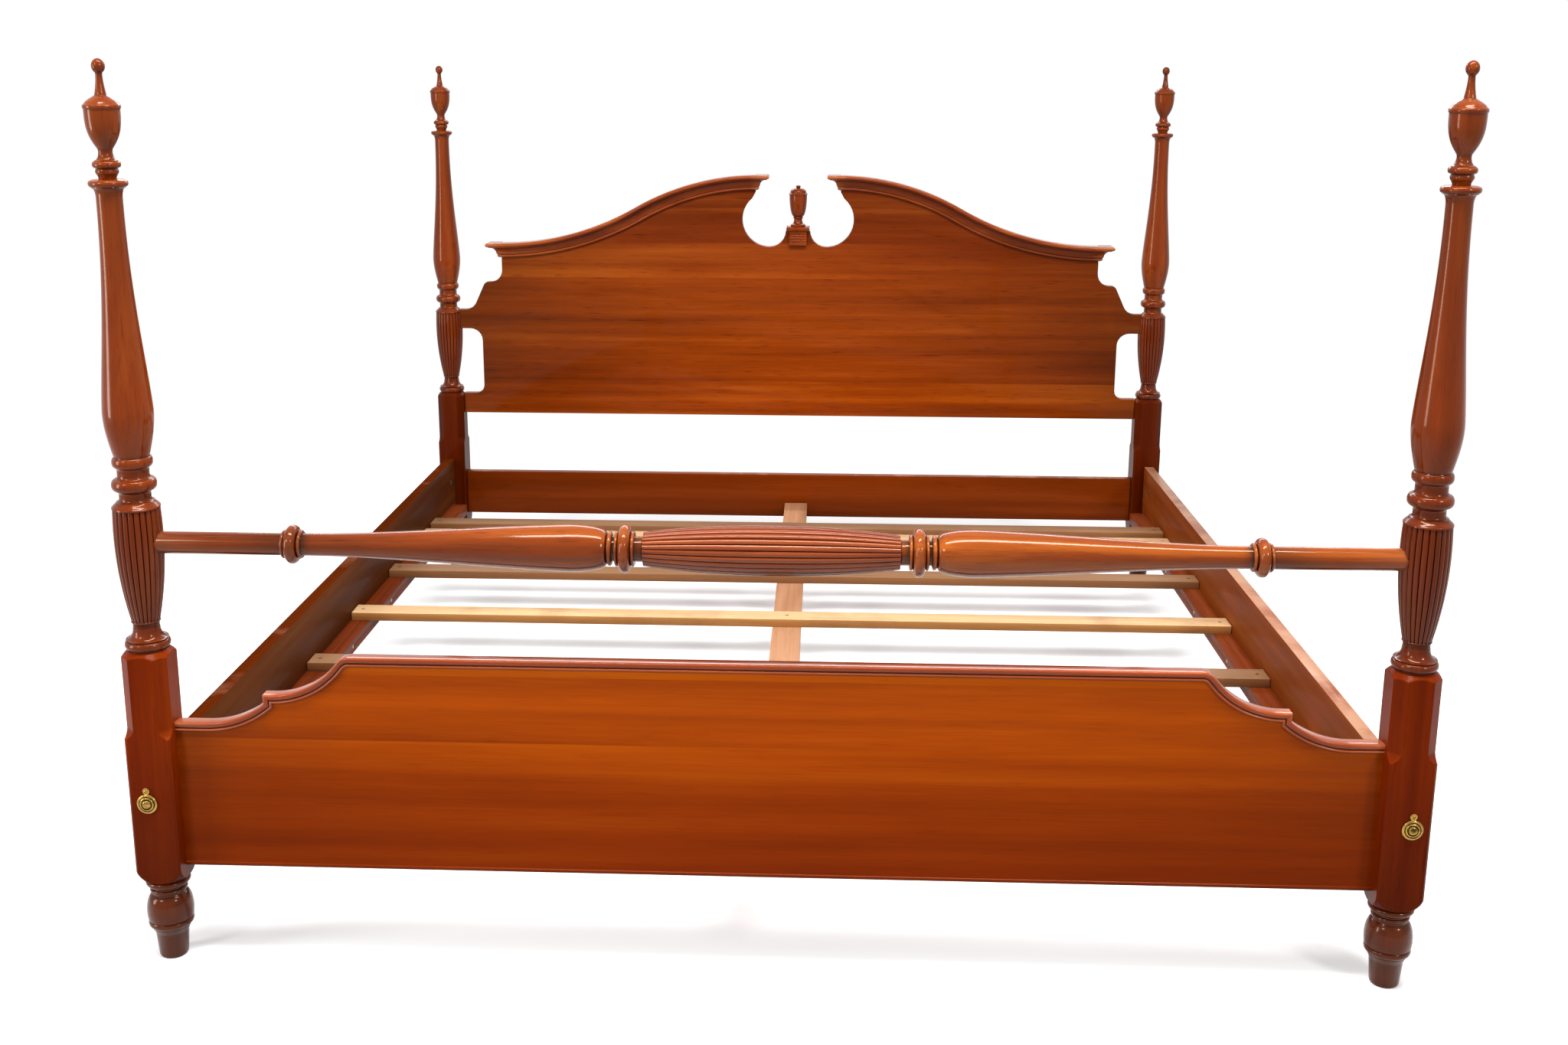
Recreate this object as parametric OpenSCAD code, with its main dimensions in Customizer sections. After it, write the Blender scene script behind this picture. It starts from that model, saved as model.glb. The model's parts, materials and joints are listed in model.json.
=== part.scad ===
// Four-poster bed: turned and reeded posts with urn finials, a swan-neck headboard,
// a shaped footboard, a turned blanket rail, bolted side rails and a slatted base.
// Millimetres, +Z up. The foot end faces -Y and the head end +Y.
// The origin is on the floor, midway between the four posts.

/* [Frame] */
// Distance across the bed between post axes
post_span = 1985; // [1900:5:2100]
// Distance along the bed between post axes
post_reach = 2130; // [2060:5:2240]
// Width of the square block of a post
block_w = 74; // [70:1:82]
// Flat cut off each block corner above the rails
block_chamfer = 17; // [10:0.5:19]
// Rounding of the block corners beside the rails
block_round = 6; // [2:0.5:8]
// Height at which the corner flats stop
chamfer_stop_z = 409; // [395:1:440]

/* [Post heights] */
// Turned foot, from the floor to the block
foot_h = 142; // [130:1:150]
// Block, from the foot to its shoulder
block_h = 386; // [376:1:400]
// Turned shoulder of the block
shoulder_h = 9; // [6:1:14]
// Ring and neck above the shoulder
base_ring_h = 47; // [40:1:56]
// Reeded barrel
reed_h = 184; // [170:1:210]
// Rings between barrel and vase
ring_stack_h = 86; // [70:1:100]
// Long vase above the rings
vase_h = 393; // [300:1:460]
// Collar on top of the vase
collar_h = 27; // [20:1:36]
// Finial on the collar
finial_h = 175.7; // [140:1:210]

/* [Post radii] */
// Foot at the floor
foot_r = 23.4; // [20:0.2:24]
// Top of the tapered foot
taper_r = 26.2; // [24:0.2:28]
// Bulb of the foot
bulb_r = 37.1; // [34:0.1:40]
// Beads round the foot and the neck
bead_r = 35; // [32:0.1:38]
// Neck under the barrel
neck_r = 20.3; // [18:0.1:20.8]
// Foot of the barrel
reed_foot_r = 21.8; // [21.4:0.1:25]
// Widest part of the barrel
reed_r = 37; // [34:0.1:42]
// Waist between the rings
waist_r = 24; // [21:0.1:26]
// Widest part of the vase
vase_r = 37.6; // [33:0.1:44]
// Top of the vase
vase_top_r = 19; // [16:0.1:22]
// Collar bead
collar_r = 28.6; // [26:0.1:34]
// Rim of the urn finial
rim_r = 27.2; // [24:0.1:32]
// Ball at the tip of the finial
ball_r = 9.7; // [7:0.1:13]
// Dowel under a finial
dowel_r = 6; // [4:0.5:8]
// Length of that dowel
dowel_l = 32; // [20:1:45]

/* [Reeding] */
// Reeds round a barrel
reeds = 24; // [16:1:28]
// Depth of the valleys between reeds
reed_depth = 2.2; // [1:0.1:3]

/* [Side rails] */
// Height of the rail's top edge
rail_top_z = 345; // [325:1:365]
// Height of the rail board
rail_h = 153; // [140:1:165]
// Thickness of the rail board
rail_t = 25; // [20:1:28]
// Rail centre, outboard of the post axis
rail_out = 7; // [2:0.5:10]
// Cleat width, out from the rail
cleat_w = 42; // [30:1:50]
// Cleat height
cleat_h = 28; // [22:1:30]
// Length left free at each end of a cleat
cleat_end = 40; // [20:1:100]

/* [Slats] */
// Width of a slat
slat_w = 56; // [45:1:76]
// Thickness of a slat
slat_t = 19; // [15:1:22]
// First slat, in from the axis of the foot posts
slat_first_in = 430; // [400:1:460]
// Last evenly spaced slat, in from the axis of the head posts
slat_last_in = 420; // [390:1:460]
// Distance of the extra head slat beyond the last one
slat_extra = 105; // [80:1:135]
// Width of the board under the middle of the slats
support_w = 64; // [50:1:90]
// Thickness of that board
support_t = 19; // [15:1:25]
// Width of a leg under the board
leg_w = 44; // [35:1:55]

/* [Head rail] */
// Height of the head rail's top edge
head_rail_top_z = 304; // [290:1:330]
// Height of the head rail board
head_rail_h = 124; // [100:1:140]

/* [Boards] */
// Thickness of the headboard, head rail and footboard
board_t = 25; // [20:1:28]
// Depth of the tenons in the posts
tenon_l = 22; // [14:1:26]
// Thickness of the tenons
tenon_t = 12; // [8:1:16]

/* [Footboard] */
// Lower edge of the footboard
fb_low_z = 165; // [158:1:180]
// Top edge in the middle
fb_top_z = 528; // [500:1:560]
// Width of the shaped part between the straight top and the post
fb_flank_w = 286.5; // [256:0.5:395]
// Radius where the straight top turns down
fb_turn_r = 25; // [20:1:35]
// Radius of the upper hollow
fb_hollow_r = 133; // [110:1:150]
// Steepest slope between the two
fb_slope = 50; // [40:1:60]
// Drop of the small step
fb_step = 15; // [8:1:22]
// Radius of the lower hollow
fb_sweep_r = 150; // [130:1:165]
// Width of the moulded band along the edge
band_w = 15; // [12:1:18]
// How far the band stands proud of the field
band_proud = 4; // [2:0.5:6]

/* [Headboard] */
// Lower edge of the headboard
hb_low_z = 478; // [440:1:490]
// Height of the crown line at the outer ends
crown_low_z = 967; // [900:1:1020]
// Rise of the swan-neck curve
crown_rise = 191; // [150:1:230]
// Outer end of the crown, in from the gap beside the post
crown_in = 62; // [46:1:116]
// Where the curve turns from full to hollow, as a share of its run
crown_bend = 0.47; // [0.38:0.01:0.56]
// Where the curve is highest
crown_apex_x = 110; // [100:1:116]
// Half width of the mouth between the scrolls
mouth_x = 118; // [117:1:126]
// Height of the crown moulding
crown_h = 42; // [34:1:50]
// Projection of the crown moulding
crown_proj = 38; // [28:1:44]
// Radius of each lobe of the middle opening
lobe_r = 76; // [68:1:78]
// Distance of the lobe centres from the middle
lobe_x = 79; // [76:1:84]
// Height of the lobe centres
lobe_z = 1034.5; // [1020:0.5:1044]
// Half width of the middle pedestal
pedestal_x = 34; // [30:1:38]
// Width of the gap beside each post
post_gap_w = 59.5; // [54:0.5:75]
// Lower edge of that gap
gap_low_z = 535; // [530:1:552]
// Lower edge of the upper arm
arm_low_z = 722; // [700:1:735]
// Height of the upper arm at the post
arm_h = 54; // [40:1:60]
// Height at which the shoulder hollow starts
ear_z = 855; // [845:1:865]

/* [Middle ornament] */
// Width of the plinth block
plinth_w = 48; // [40:1:56]
// Height of the plinth block
plinth_h = 40; // [30:1:44]
// Projection of the plinth block
plinth_proj = 12; // [8:1:16]
// Thickness of the plinth cap
cap_t = 12; // [8:1:16]
// Overhang of the plinth cap
cap_over = 8; // [4:1:12]
// Height of the small urn
urn_h = 113; // [90:1:130]
// Radius of the small urn
urn_r = 25.5; // [20:0.5:28]

/* [Blanket rail] */
// Radius of the rail at the posts
bar_r = 17.5; // [15:0.5:20]
// Outer rings, distance in from the barrels
bar_ring_in = 207.5; // [156:0.5:315]
// Outer rings, radius
bar_ring_r = 30.5; // [26:0.5:34]
// Fullest part of the long swells, distance from the middle
bar_swell_x = 315; // [290:1:360]
// Fullest part of the long swells, radius
bar_swell_r = 37; // [30:0.5:40]
// Disc rings, distance from the middle
bar_disc_x = 227; // [218:1:236]
// Disc rings, radius
bar_disc_r = 37.8; // [32:0.1:40]
// Half length of the reeded middle
bar_reed_x = 198; // [180:1:204]
// Radius of the reeded middle
bar_reed_r = 39; // [34:0.5:42]
// Radius at the ends of the reeded middle
bar_reed_end_r = 26.6; // [23:0.1:30]
// Depth of its sockets in the barrels
socket_l = 18; // [10:1:20]

/* [Fasteners] */
// Height of the bed bolts
bolt_z = 285; // [270:1:300]
// Radius of a bed bolt
bolt_r = 4; // [3:0.5:5]
// Bolt length beyond the post
bolt_reach = 62; // [50:1:80]
// Width of the square bolt head
bolt_head_w = 14; // [11:1:15]
// Thickness of the bolt head
bolt_head_t = 6; // [4:1:7]
// Radius of the hole that hides the head
counter_r = 11; // [10.5:0.5:13]
// Depth of that hole
counter_l = 9; // [8:1:12]
// Radius of the barrel nut
nut_r = 8; // [6:0.5:9]
// Distance from the post to the barrel nut
nut_y = 45; // [35:1:50]
// Radius of a bolt cover
cover_r = 16.5; // [14:0.5:19]
// Distance from the cover's middle up to its screw
cover_drop = 22; // [20:1:26]
// Radius of the cover's eyelet
eyelet_r = 5.5; // [4.5:0.1:6.5]
// Thickness of the cover's plate
cover_t = 2; // [1.5:0.1:3]
// Radius of the cover screw
pin_r = 1.7; // [1.4:0.1:2]
// Radius of a wood screw
screw_r = 2; // [1.5:0.1:2.5]
// Length of a slat screw
slat_screw_l = 34; // [28:1:38]
// Length of a cleat screw
cleat_screw_l = 54; // [50:1:60]

/* [Fits] */
// Air round tenons, between boards and posts
wood_gap = 0.3; // [0.2:0.05:0.6]
// Radial clearance of a pin that turns or slides
run_gap = 0.05; // [0.02:0.01:0.09]
// Air between a moving piece and its seat
seat_gap = 0.3; // [0.2:0.05:0.5]

/* [Hidden] */
$fn = 48;

cherry = [0.45, 0.16, 0.06];
cherry_dark = [0.34, 0.11, 0.05];
pale_wood = [0.72, 0.56, 0.38];
brass = [0.62, 0.50, 0.22];
steel = [0.55, 0.55, 0.57];

half_span = post_span / 2;
half_reach = post_reach / 2;
half_block = block_w / 2;
corner_r = half_block * sqrt(2) + 2;
bar_ring_x = half_span - reed_r - bar_ring_in;
fb_flat_x = half_span - half_block - fb_flank_w;
gap_x = half_span - half_block - post_gap_w;
crown_end_x = gap_x - crown_in;
crown_bend_x = crown_apex_x + crown_bend * (crown_end_x - crown_apex_x);

// heights of the post's sections
block_z = foot_h;
shoulder_z = block_z + block_h;
base_ring_z = shoulder_z + shoulder_h;
reed_z = base_ring_z + base_ring_h;
ring_stack_z = reed_z + reed_h;
vase_z = ring_stack_z + ring_stack_h;
collar_z = vase_z + vase_h;
seat_z = collar_z + collar_h;

// heights and places of the frame's boards
rail_low_z = rail_top_z - rail_h;
rail_x = half_span + rail_out;
rail_face_x = rail_x - rail_t / 2;
cleat_top_z = rail_low_z + cleat_h;
slat_low_z = cleat_top_z;
slat_top_z = slat_low_z + slat_t;
support_low_z = slat_low_z - support_t;
board_face_x = half_span - half_block - wood_gap;
rail_end_y = half_reach - half_block - wood_gap;
bar_z = reed_z + 0.692 * reed_h;
arm_z = arm_low_z;

// evenly spaced slats, then the extra one near the head
slat_pitch = (post_reach - slat_first_in - slat_last_in) / 4;
slat_ys = concat([for (i = [0:4]) -half_reach + slat_first_in + i * slat_pitch],
                 [half_reach - slat_last_in + slat_extra]);
leg_ys = [slat_ys[0], slat_ys[2], slat_ys[4]];

// points of an arc, from angle a0 to angle a1
function arc(c, r, a0, a1, n = 8) =
  [for (i = [0:n]) let (a = a0 + (a1 - a0) * i / n) c + r * [cos(a), sin(a)]];
function flip(pts) = [for (i = [len(pts) - 1:-1:0]) [-pts[i][0], pts[i][1]]];

// turned shapes: [radius, share of the section's height]
function swell(f0, f1, r0, r1, n = 6) =
  [for (i = [0:n]) let (a = -90 + 180 * i / n)
    [r0 + (r1 - r0) * cos(a), (f0 + f1) / 2 + (f1 - f0) / 2 * sin(a)]];
function cove_up(f0, r0, f1, r1, n = 5) =
  [for (i = [0:n]) let (a = 90 * i / n)
    [r0 + (r1 - r0) * (1 - cos(a)), f0 + (f1 - f0) * sin(a)]];
function cove_down(f0, r0, f1, r1, n = 5) =
  [for (i = [0:n]) let (a = 90 * i / n)
    [r0 + (r1 - r0) * sin(a), f0 + (f1 - f0) * (1 - cos(a))]];
function section(z0, h, shape) = [for (p = shape) [p[0], z0 + p[1] * h]];

// flat seats above and below a barrel stand this far proud of its reeds
seat_step = 1.2;
seat_low = 0.6;

// radius of the reeded barrel at share f of its height
reed_top_drop = 1.5;
function barrel_r(f) =
  f < 0.75 ? reed_r - (reed_r - reed_foot_r) * pow(1 - f / 0.75, 2)
           : reed_r - reed_top_drop * pow((f - 0.75) / 0.25, 2);

// radius of the vase at share f of its height: a quick swell, then a long taper
vase_foot_r = 27.5;
vase_full = 0.17;
function vase_swell(t) = pow(1 - pow(t, 1.3), 2.3);
function vase_radius(f) =
  f < vase_full ? vase_foot_r + (vase_r - vase_foot_r) * sin(90 * f / vase_full)
                : vase_top_r + (vase_r - vase_top_r) * vase_swell((f - vase_full) / (1 - vase_full));

foot_shape = concat(
  [[0, 0], [foot_r - 3, 0], [foot_r - 0.8, 0.015], [foot_r, 0.045], [taper_r, 0.3]],
  [[taper_r + 3.2, 0.355], [bead_r - 3, 0.395]],
  swell(0.4, 0.48, bead_r - 3, bead_r + 1),
  [[bead_r - 2, 0.486]],
  [for (i = [0:8]) let (a = -25 + 103 * i / 8)
    [foot_r + 2 + (bulb_r - foot_r - 2) * cos(a), 0.58 + 0.22 * sin(a)]],
  [[foot_r + 3.5, 0.802], [foot_r + 3.5, 0.82]],
  swell(0.825, 0.875, foot_r + 3.6, foot_r + 6.4, 4),
  cove_up(0.88, foot_r + 4, 0.91, bead_r - 4.5, 3),
  swell(0.915, 0.99, bead_r - 4.5, bead_r + 0.6),
  [[bead_r - 5, 1]]
);
base_ring_shape = concat(
  [[bead_r - 5, -0.2], [bead_r - 5, 0.03]],
  swell(0.04, 0.32, bead_r - 4, bead_r),
  [[bead_r - 4, 0.34], [bead_r - 2.5, 0.37]],
  cove_down(0.37, bead_r - 2.5, 0.74, neck_r + 0.6, 6),
  [[neck_r, 0.8], [neck_r, 0.945], [reed_foot_r + seat_low, 0.955], [reed_foot_r + seat_low, 1]]
);
reed_cap_r = reed_r - reed_top_drop;
ring_shape = concat(
  [[reed_cap_r + seat_step, -0.02], [reed_cap_r + seat_step, 0.03], [reed_cap_r, 0.04],
   [reed_cap_r - 2, 0.07], [reed_cap_r - 5, 0.1], [reed_cap_r - 6.8, 0.128]],
  cove_down(0.13, reed_cap_r - 7, 0.19, waist_r, 4),
  cove_up(0.26, waist_r, 0.33, waist_r + 4.5, 3),
  swell(0.335, 0.545, waist_r + 4.5, bead_r - 1.2, 8),
  cove_down(0.55, waist_r + 4.5, 0.62, waist_r, 4),
  cove_up(0.7, waist_r, 0.765, vase_foot_r - 0.5, 3),
  swell(0.77, 0.95, vase_foot_r - 0.5, vase_foot_r + 2.9, 7),
  [[vase_foot_r - 1, 0.965]]
);
vase_shape = concat([for (i = [0:5]) [vase_radius(vase_full * i / 5), vase_full * i / 5]],
                    [for (i = [1:14]) let (f = vase_full + (1 - vase_full) * i / 14) [vase_radius(f), f]]);
collar_shape = concat(
  cove_up(0, vase_top_r, 0.42, collar_r - 6),
  [[collar_r - 4, 0.45]],
  swell(0.47, 0.95, collar_r - 4, collar_r),
  [[collar_r - 6, 1], [0, 1]]
);
finial_shape = concat(
  [[0, 0], [14.5, 0], [14.5, 0.025], [16.3, 0.04], [16.3, 0.065], [15.5, 0.072]],
  swell(0.08, 0.145, 17, 20.6),
  cove_down(0.15, 16, 0.19, 10.6, 4),
  [[10.6, 0.225]],
  [for (i = [0:6]) [11 + (rim_r - 12.3) * sin(15 * i), 0.25 + 0.055 * i]],
  [[rim_r - 1, 0.585], [rim_r, 0.595], [rim_r, 0.612], [rim_r - 1.5, 0.622],
   [rim_r - 3.8, 0.635]],
  [for (i = [0:7]) let (t = i / 7) [5.2 + (rim_r - 9.2) * pow(1 - t, 4), 0.64 + 0.235 * t]],
  [for (i = [1:8]) let (a = -62 + 152 * i / 8) [ball_r * cos(a), 0.938 + 0.062 * sin(a)]]
);

// one closed band of a reeded barrel, for a ring of radius r
reed_steps = 4;
reed_dip = [1, 0.24, 0, 0.24];
function reed_ring(r, depth) =
  [for (i = [0:reeds * reed_steps - 1])
    let (a = 360 * i / (reeds * reed_steps), q = r - depth * reed_dip[i % reed_steps])
    [q * cos(a), q * sin(a)]];

// reeded solid of revolution: rings is a list of [height, radius, depth]
module reeded(rings) {
  n = reeds * reed_steps;
  m = len(rings);
  pts = [for (k = rings) for (p = reed_ring(k[1], k[2])) [p[0], p[1], k[0]]];
  sides = [for (j = [0:m - 2]) for (i = [0:n - 1])
    let (a = j * n + i, b = j * n + (i + 1) % n, c = (j + 1) * n + (i + 1) % n, d = (j + 1) * n + i)
    each [[a, d, b], [b, d, c]]];
  low = [[for (i = [0:n - 1]) i]];
  high = [[for (i = [n - 1:-1:0]) (m - 1) * n + i]];
  polyhedron(points = pts, faces = concat(low, sides, high));
}

// places a piece drawn beside the front left post, +X and +Y inwards
module at_post(sx, sy) {
  translate([sx * half_span, sy * half_reach, 0])
    mirror([sx > 0 ? 1 : 0, 0, 0])
      mirror([0, sy > 0 ? 1 : 0, 0])
        children();
}

module bore_y(r, y0, y1) {
  translate([0, y0, 0]) rotate([-90, 0, 0]) cylinder(r = r, h = y1 - y0);
}

// the square block: rounded below, flats above, turned away at both ends
module block_body() {
  q = half_block - block_round;
  inner = half_block - block_chamfer;
  pommel_r = bead_r - 3;
  pommel_h = 51;
  intersection() {
    union() {
      translate([0, 0, block_z]) linear_extrude(chamfer_stop_z - block_z)
        polygon([for (k = [0:3]) for (p = arc([q, q], block_round, 0, 90, 4))
          [p[0] * cos(90 * k) - p[1] * sin(90 * k), p[0] * sin(90 * k) + p[1] * cos(90 * k)]]);
      translate([0, 0, chamfer_stop_z]) linear_extrude(base_ring_z - chamfer_stop_z)
        polygon([for (k = [0:3]) for (p = [[half_block, inner], [inner, half_block]])
          [p[0] * cos(90 * k) - p[1] * sin(90 * k), p[0] * sin(90 * k) + p[1] * cos(90 * k)]]);
    }
    rotate_extrude() polygon(concat(
      [[0, block_z]],
      [for (i = [0:6]) let (a = 90 * i / 6)
        [pommel_r + (corner_r - pommel_r) * sin(a), block_z + pommel_h * (1 - cos(a))]],
      [[corner_r, shoulder_z - 12], [half_block - 6, base_ring_z], [0, base_ring_z]]));
  }
}

// the stop at the foot of each corner flat, hollowed like a spoon
module spoon_stops() {
  plane = (half_block * 2 - block_chamfer) / sqrt(2);
  spoon_r = 22;
  for (k = [0:3])
    rotate([0, 0, 45 + 90 * k])
      translate([plane + spoon_r - 3, -20, chamfer_stop_z])
        rotate([-90, 0, 0]) cylinder(r = spoon_r, h = 40);
}

module post_body() {
  core_r = neck_r - reed_depth - 1.5;
  difference() {
    union() {
      rotate_extrude() polygon(concat(
        section(0, foot_h, foot_shape),
        section(base_ring_z, base_ring_h, base_ring_shape),
        [[core_r, reed_z], [core_r, ring_stack_z - 0.02 * ring_stack_h]],
        section(ring_stack_z, ring_stack_h, ring_shape),
        section(vase_z, vase_h, vase_shape),
        section(collar_z, collar_h, collar_shape)));
      difference() {
        block_body();
        spoon_stops();
      }
      reeded([for (i = [0:8])
        [reed_z + i * reed_h / 8 + (i == 0 ? -1.2 : i == 8 ? 1 : 0), barrel_r(i / 8),
         reed_depth * (i == 0 ? 0.4 : i == 8 ? 0.6 : 1)]]);
    }
    translate([0, 0, seat_z - dowel_l - 2]) cylinder(r = dowel_r + run_gap, h = dowel_l + 3);
  }
}

// cuts shared by all posts: rail tenon, bed bolt, its head and the cover screw
module rail_cuts() {
  translate([-rail_out, 0, 0]) {
    translate([0, half_block - stub_l / 2 + 0.5, bolt_z])
      cube([tenon_t + 2 * wood_gap, stub_l + 1 + wood_gap, stub_h + 2 * wood_gap], center = true);
    translate([0, 0, bolt_z]) {
      bore_y(bolt_r + wood_gap, -half_block - 1, half_block + 1);
      bore_y(counter_r, -half_block - 1, -half_block + counter_l);
    }
    translate([0, 0, bolt_z + cover_drop]) bore_y(pin_r + run_gap, -half_block - 1, -half_block + 15);
  }
}

module slot(depth, z0, z1, thick) {
  translate([half_block - depth, -thick / 2 - wood_gap, z0 - wood_gap])
    cube([depth + 1, thick + 2 * wood_gap, z1 - z0 + 2 * wood_gap]);
}

stub_l = 12;
stub_h = 70;
fb_tenon_z = [fb_low_z + 25, chamfer_stop_z - 35];
hr_tenon_z = [head_rail_top_z - head_rail_h + 15, head_rail_top_z - 15];
hb_tenon_z = [hb_low_z + 8, gap_low_z - 20];
arm_in = 12;

module foot_post(sx) {
  at_post(sx, -1) color(cherry_dark) difference() {
    post_body();
    rail_cuts();
    slot(tenon_l + wood_gap, fb_tenon_z[0], fb_tenon_z[1], tenon_t);
    translate([reed_r - socket_l, 0, bar_z]) rotate([0, 90, 0]) cylinder(r = bar_r + run_gap, h = 40);
  }
}

module head_post(sx) {
  at_post(sx, 1) color(cherry_dark) difference() {
    post_body();
    rail_cuts();
    slot(tenon_l + wood_gap, hr_tenon_z[0], hr_tenon_z[1], tenon_t);
    slot(tenon_l + wood_gap, hb_tenon_z[0], hb_tenon_z[1], tenon_t);
    translate([reed_r - arm_in - wood_gap, -board_t / 2 - wood_gap, arm_z - wood_gap])
      cube([reed_r, board_t + 2 * wood_gap, arm_h + 2 * wood_gap]);
  }
}

module finial(sx, sy) {
  at_post(sx, sy) color(cherry_dark) translate([0, 0, seat_z + seat_gap]) {
    rotate_extrude() polygon(section(0, finial_h, finial_shape));
    translate([0, 0, -dowel_l]) cylinder(r = dowel_r, h = dowel_l + 5);
  }
}

// the swan-neck line of the crown, right half, as [x, z]
crown_top_z = crown_low_z + crown_rise;
crown_turn = 2 * atan(crown_rise / (crown_end_x - crown_apex_x));
crown_r_low = (crown_end_x - crown_bend_x) / sin(crown_turn);
crown_r_top = (crown_bend_x - crown_apex_x) / sin(crown_turn);
mouth_turn = asin((mouth_x - crown_apex_x) / crown_r_top);
function crown_angles() = concat(
  [for (i = [0:9]) [crown_turn * i / 9, 0]],
  [for (i = [1:9]) [crown_turn + (mouth_turn - crown_turn) * i / 9, 1]]);
function crown_point(a, upper) = upper == 0
  ? [crown_end_x - crown_r_low * sin(a), crown_low_z + crown_r_low * (1 - cos(a))]
  : [crown_apex_x + crown_r_top * sin(a), crown_top_z - crown_r_top * (1 - cos(a))];

// section of the crown moulding: [projection, height below the line]
crown_section = concat(
  [[0, 0], [crown_proj - 4, 0]],
  arc([crown_proj - 4.5, -5.5], 5.5, 80, -80, 5),
  [[crown_proj - 7, -12]],
  [for (i = [0:5]) let (a = 90 * i / 5)
    [crown_proj - 7 - (crown_proj - 19) * sin(a), -12 - (crown_h - 24) * (1 - cos(a))]],
  [[9, -crown_h + 10], [9, -crown_h + 7], [5.5, -crown_h + 4.5], [5, -crown_h], [0, -crown_h]]
);

// the moulding runs along the front and returns round both ends of the board
module crown_moulding(sx) {
  line = crown_angles();
  m = len(crown_section);
  face_y = half_reach - board_t / 2;
  back_y = half_reach + board_t / 2;
  first = crown_point(line[0][0], line[0][1]);
  last = crown_point(line[len(line) - 1][0], line[len(line) - 1][1]);
  rings = concat(
    [[for (s = crown_section) [first[0] + s[0], back_y, first[1] + s[1]]]],
    [[for (s = crown_section) [first[0] + s[0], face_y - s[0], first[1] + s[1]]]],
    [for (k = [1:len(line) - 2]) let (p = crown_point(line[k][0], line[k][1]), a = line[k][0])
      [for (s = crown_section) [p[0] + s[1] * sin(a), face_y - s[0], p[1] + s[1] * cos(a)]]],
    [[for (s = crown_section) [last[0] - s[0], face_y - s[0], last[1] + s[1]]]],
    [[for (s = crown_section) [last[0] - s[0], back_y, last[1] + s[1]]]]);
  n = len(rings);
  pts = [for (r = rings) for (p = r) p];
  sides = [for (j = [0:n - 2]) for (i = [0:m - 1])
    let (a = j * m + i, b = j * m + (i + 1) % m, c = (j + 1) * m + (i + 1) % m, d = (j + 1) * m + i)
    each [[a, b, d], [b, c, d]]];
  color(cherry) mirror([sx < 0 ? 1 : 0, 0, 0])
    polyhedron(points = pts, faces = concat(
      [[for (i = [m - 1:-1:0]) i]], sides, [[for (i = [0:m - 1]) (n - 1) * m + i]]));
}

// outline of the headboard's right half, from its lower corner up and round to the pedestal
ear_r = 34;
ear_slope = 65;
arm_r = 36;
gap_low_r = 24;
gap_top_r = 34;
board_top_drop = 2;
lobe_mouth = 50;
ear_x = crown_end_x + ear_r;
arm_foot = [gap_x + 47, arm_z + arm_h + arm_r];
function headboard_half() = concat(
  [[board_face_x, hb_low_z], [board_face_x, gap_low_z]],
  arc([gap_x + gap_low_r, gap_low_z + gap_low_r], gap_low_r, 270, 180, 5),
  arc([gap_x + gap_top_r, arm_z - gap_top_r], gap_top_r, 180, 90, 6),
  [[half_span - reed_r + arm_in, arm_z], [half_span - reed_r + arm_in, arm_z + arm_h]],
  arc(arm_foot, arm_r, 270, 270 - ear_slope, 5),
  arc([ear_x + 6.5, ear_z - 14], 14, 90 - ear_slope, 90, 4),
  arc([ear_x, ear_z + ear_r], ear_r, 270, 180, 6),
  [for (k = crown_angles()) crown_point(k[0], k[1]) - [0, board_top_drop]],
  [[mouth_x, lobe_z + lobe_r]],
  arc([lobe_x, lobe_z], lobe_r, lobe_mouth, -84, 14),
  arc([lobe_x, pedestal_z], pedestal_r, 270, 180, 6)
);
pedestal_r = lobe_x - pedestal_x;
pedestal_z = lobe_z - lobe_r + pedestal_r;
cap_z = pedestal_z;

module tenon(z, sx, y) {
  x = half_span - half_block - wood_gap;
  translate([sx * (x + tenon_l / 2 - 1), y, (z[0] + z[1]) / 2])
    cube([tenon_l + 2, tenon_t, z[1] - z[0]], center = true);
}

module headboard_panel() {
  right = headboard_half();
  color(cherry) difference() {
    union() {
      translate([0, half_reach + board_t / 2, 0]) rotate([90, 0, 0])
        linear_extrude(board_t) polygon(concat(right, flip(right)));
      for (sx = [-1, 1]) tenon(hb_tenon_z, sx, half_reach);
    }
    translate([0, half_reach, cap_z - peg_l]) cylinder(r = peg_r + run_gap, h = peg_l + 1);
  }
}

peg_r = 5;
peg_l = 16;

module plinth_block() {
  color(cherry) difference() {
    translate([-plinth_w / 2, half_reach - board_t / 2 - plinth_proj, cap_z - plinth_h])
      cube([plinth_w, plinth_proj, plinth_h]);
    for (k = [0:3])
      translate([0, half_reach - board_t / 2 - plinth_proj, cap_z - plinth_h + 9 + k * 7])
        rotate([0, 90, 0]) cylinder(r = 1.6, h = plinth_w + 2, center = true);
  }
}

module plinth_cap() {
  w = plinth_w + 2 * cap_over;
  y0 = half_reach - board_t / 2 - plinth_proj - cap_over;
  y1 = half_reach + board_t / 2 + cap_over / 2;
  step = cap_over / 2;
  color(cherry) difference() {
    union() {
      translate([-w / 2, y0, cap_z + 3]) cube([w, y1 - y0, cap_t - 3]);
      translate([-w / 2 + step, y0 + step, cap_z]) cube([w - 2 * step, y1 - y0 - step, 4]);
    }
    translate([0, half_reach, cap_z - 1]) cylinder(r = peg_r + run_gap, h = cap_t + 2);
    for (s = [-1, 1])
      translate([s * (w / 2), y0 - 1, cap_z + cap_t]) rotate([0, 45, 0])
        cube([4, 2 * (y1 - y0), 4], center = true);
    translate([0, y0, cap_z + cap_t]) rotate([45, 0, 0]) cube([w + 2, 4, 4], center = true);
  }
}

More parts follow.
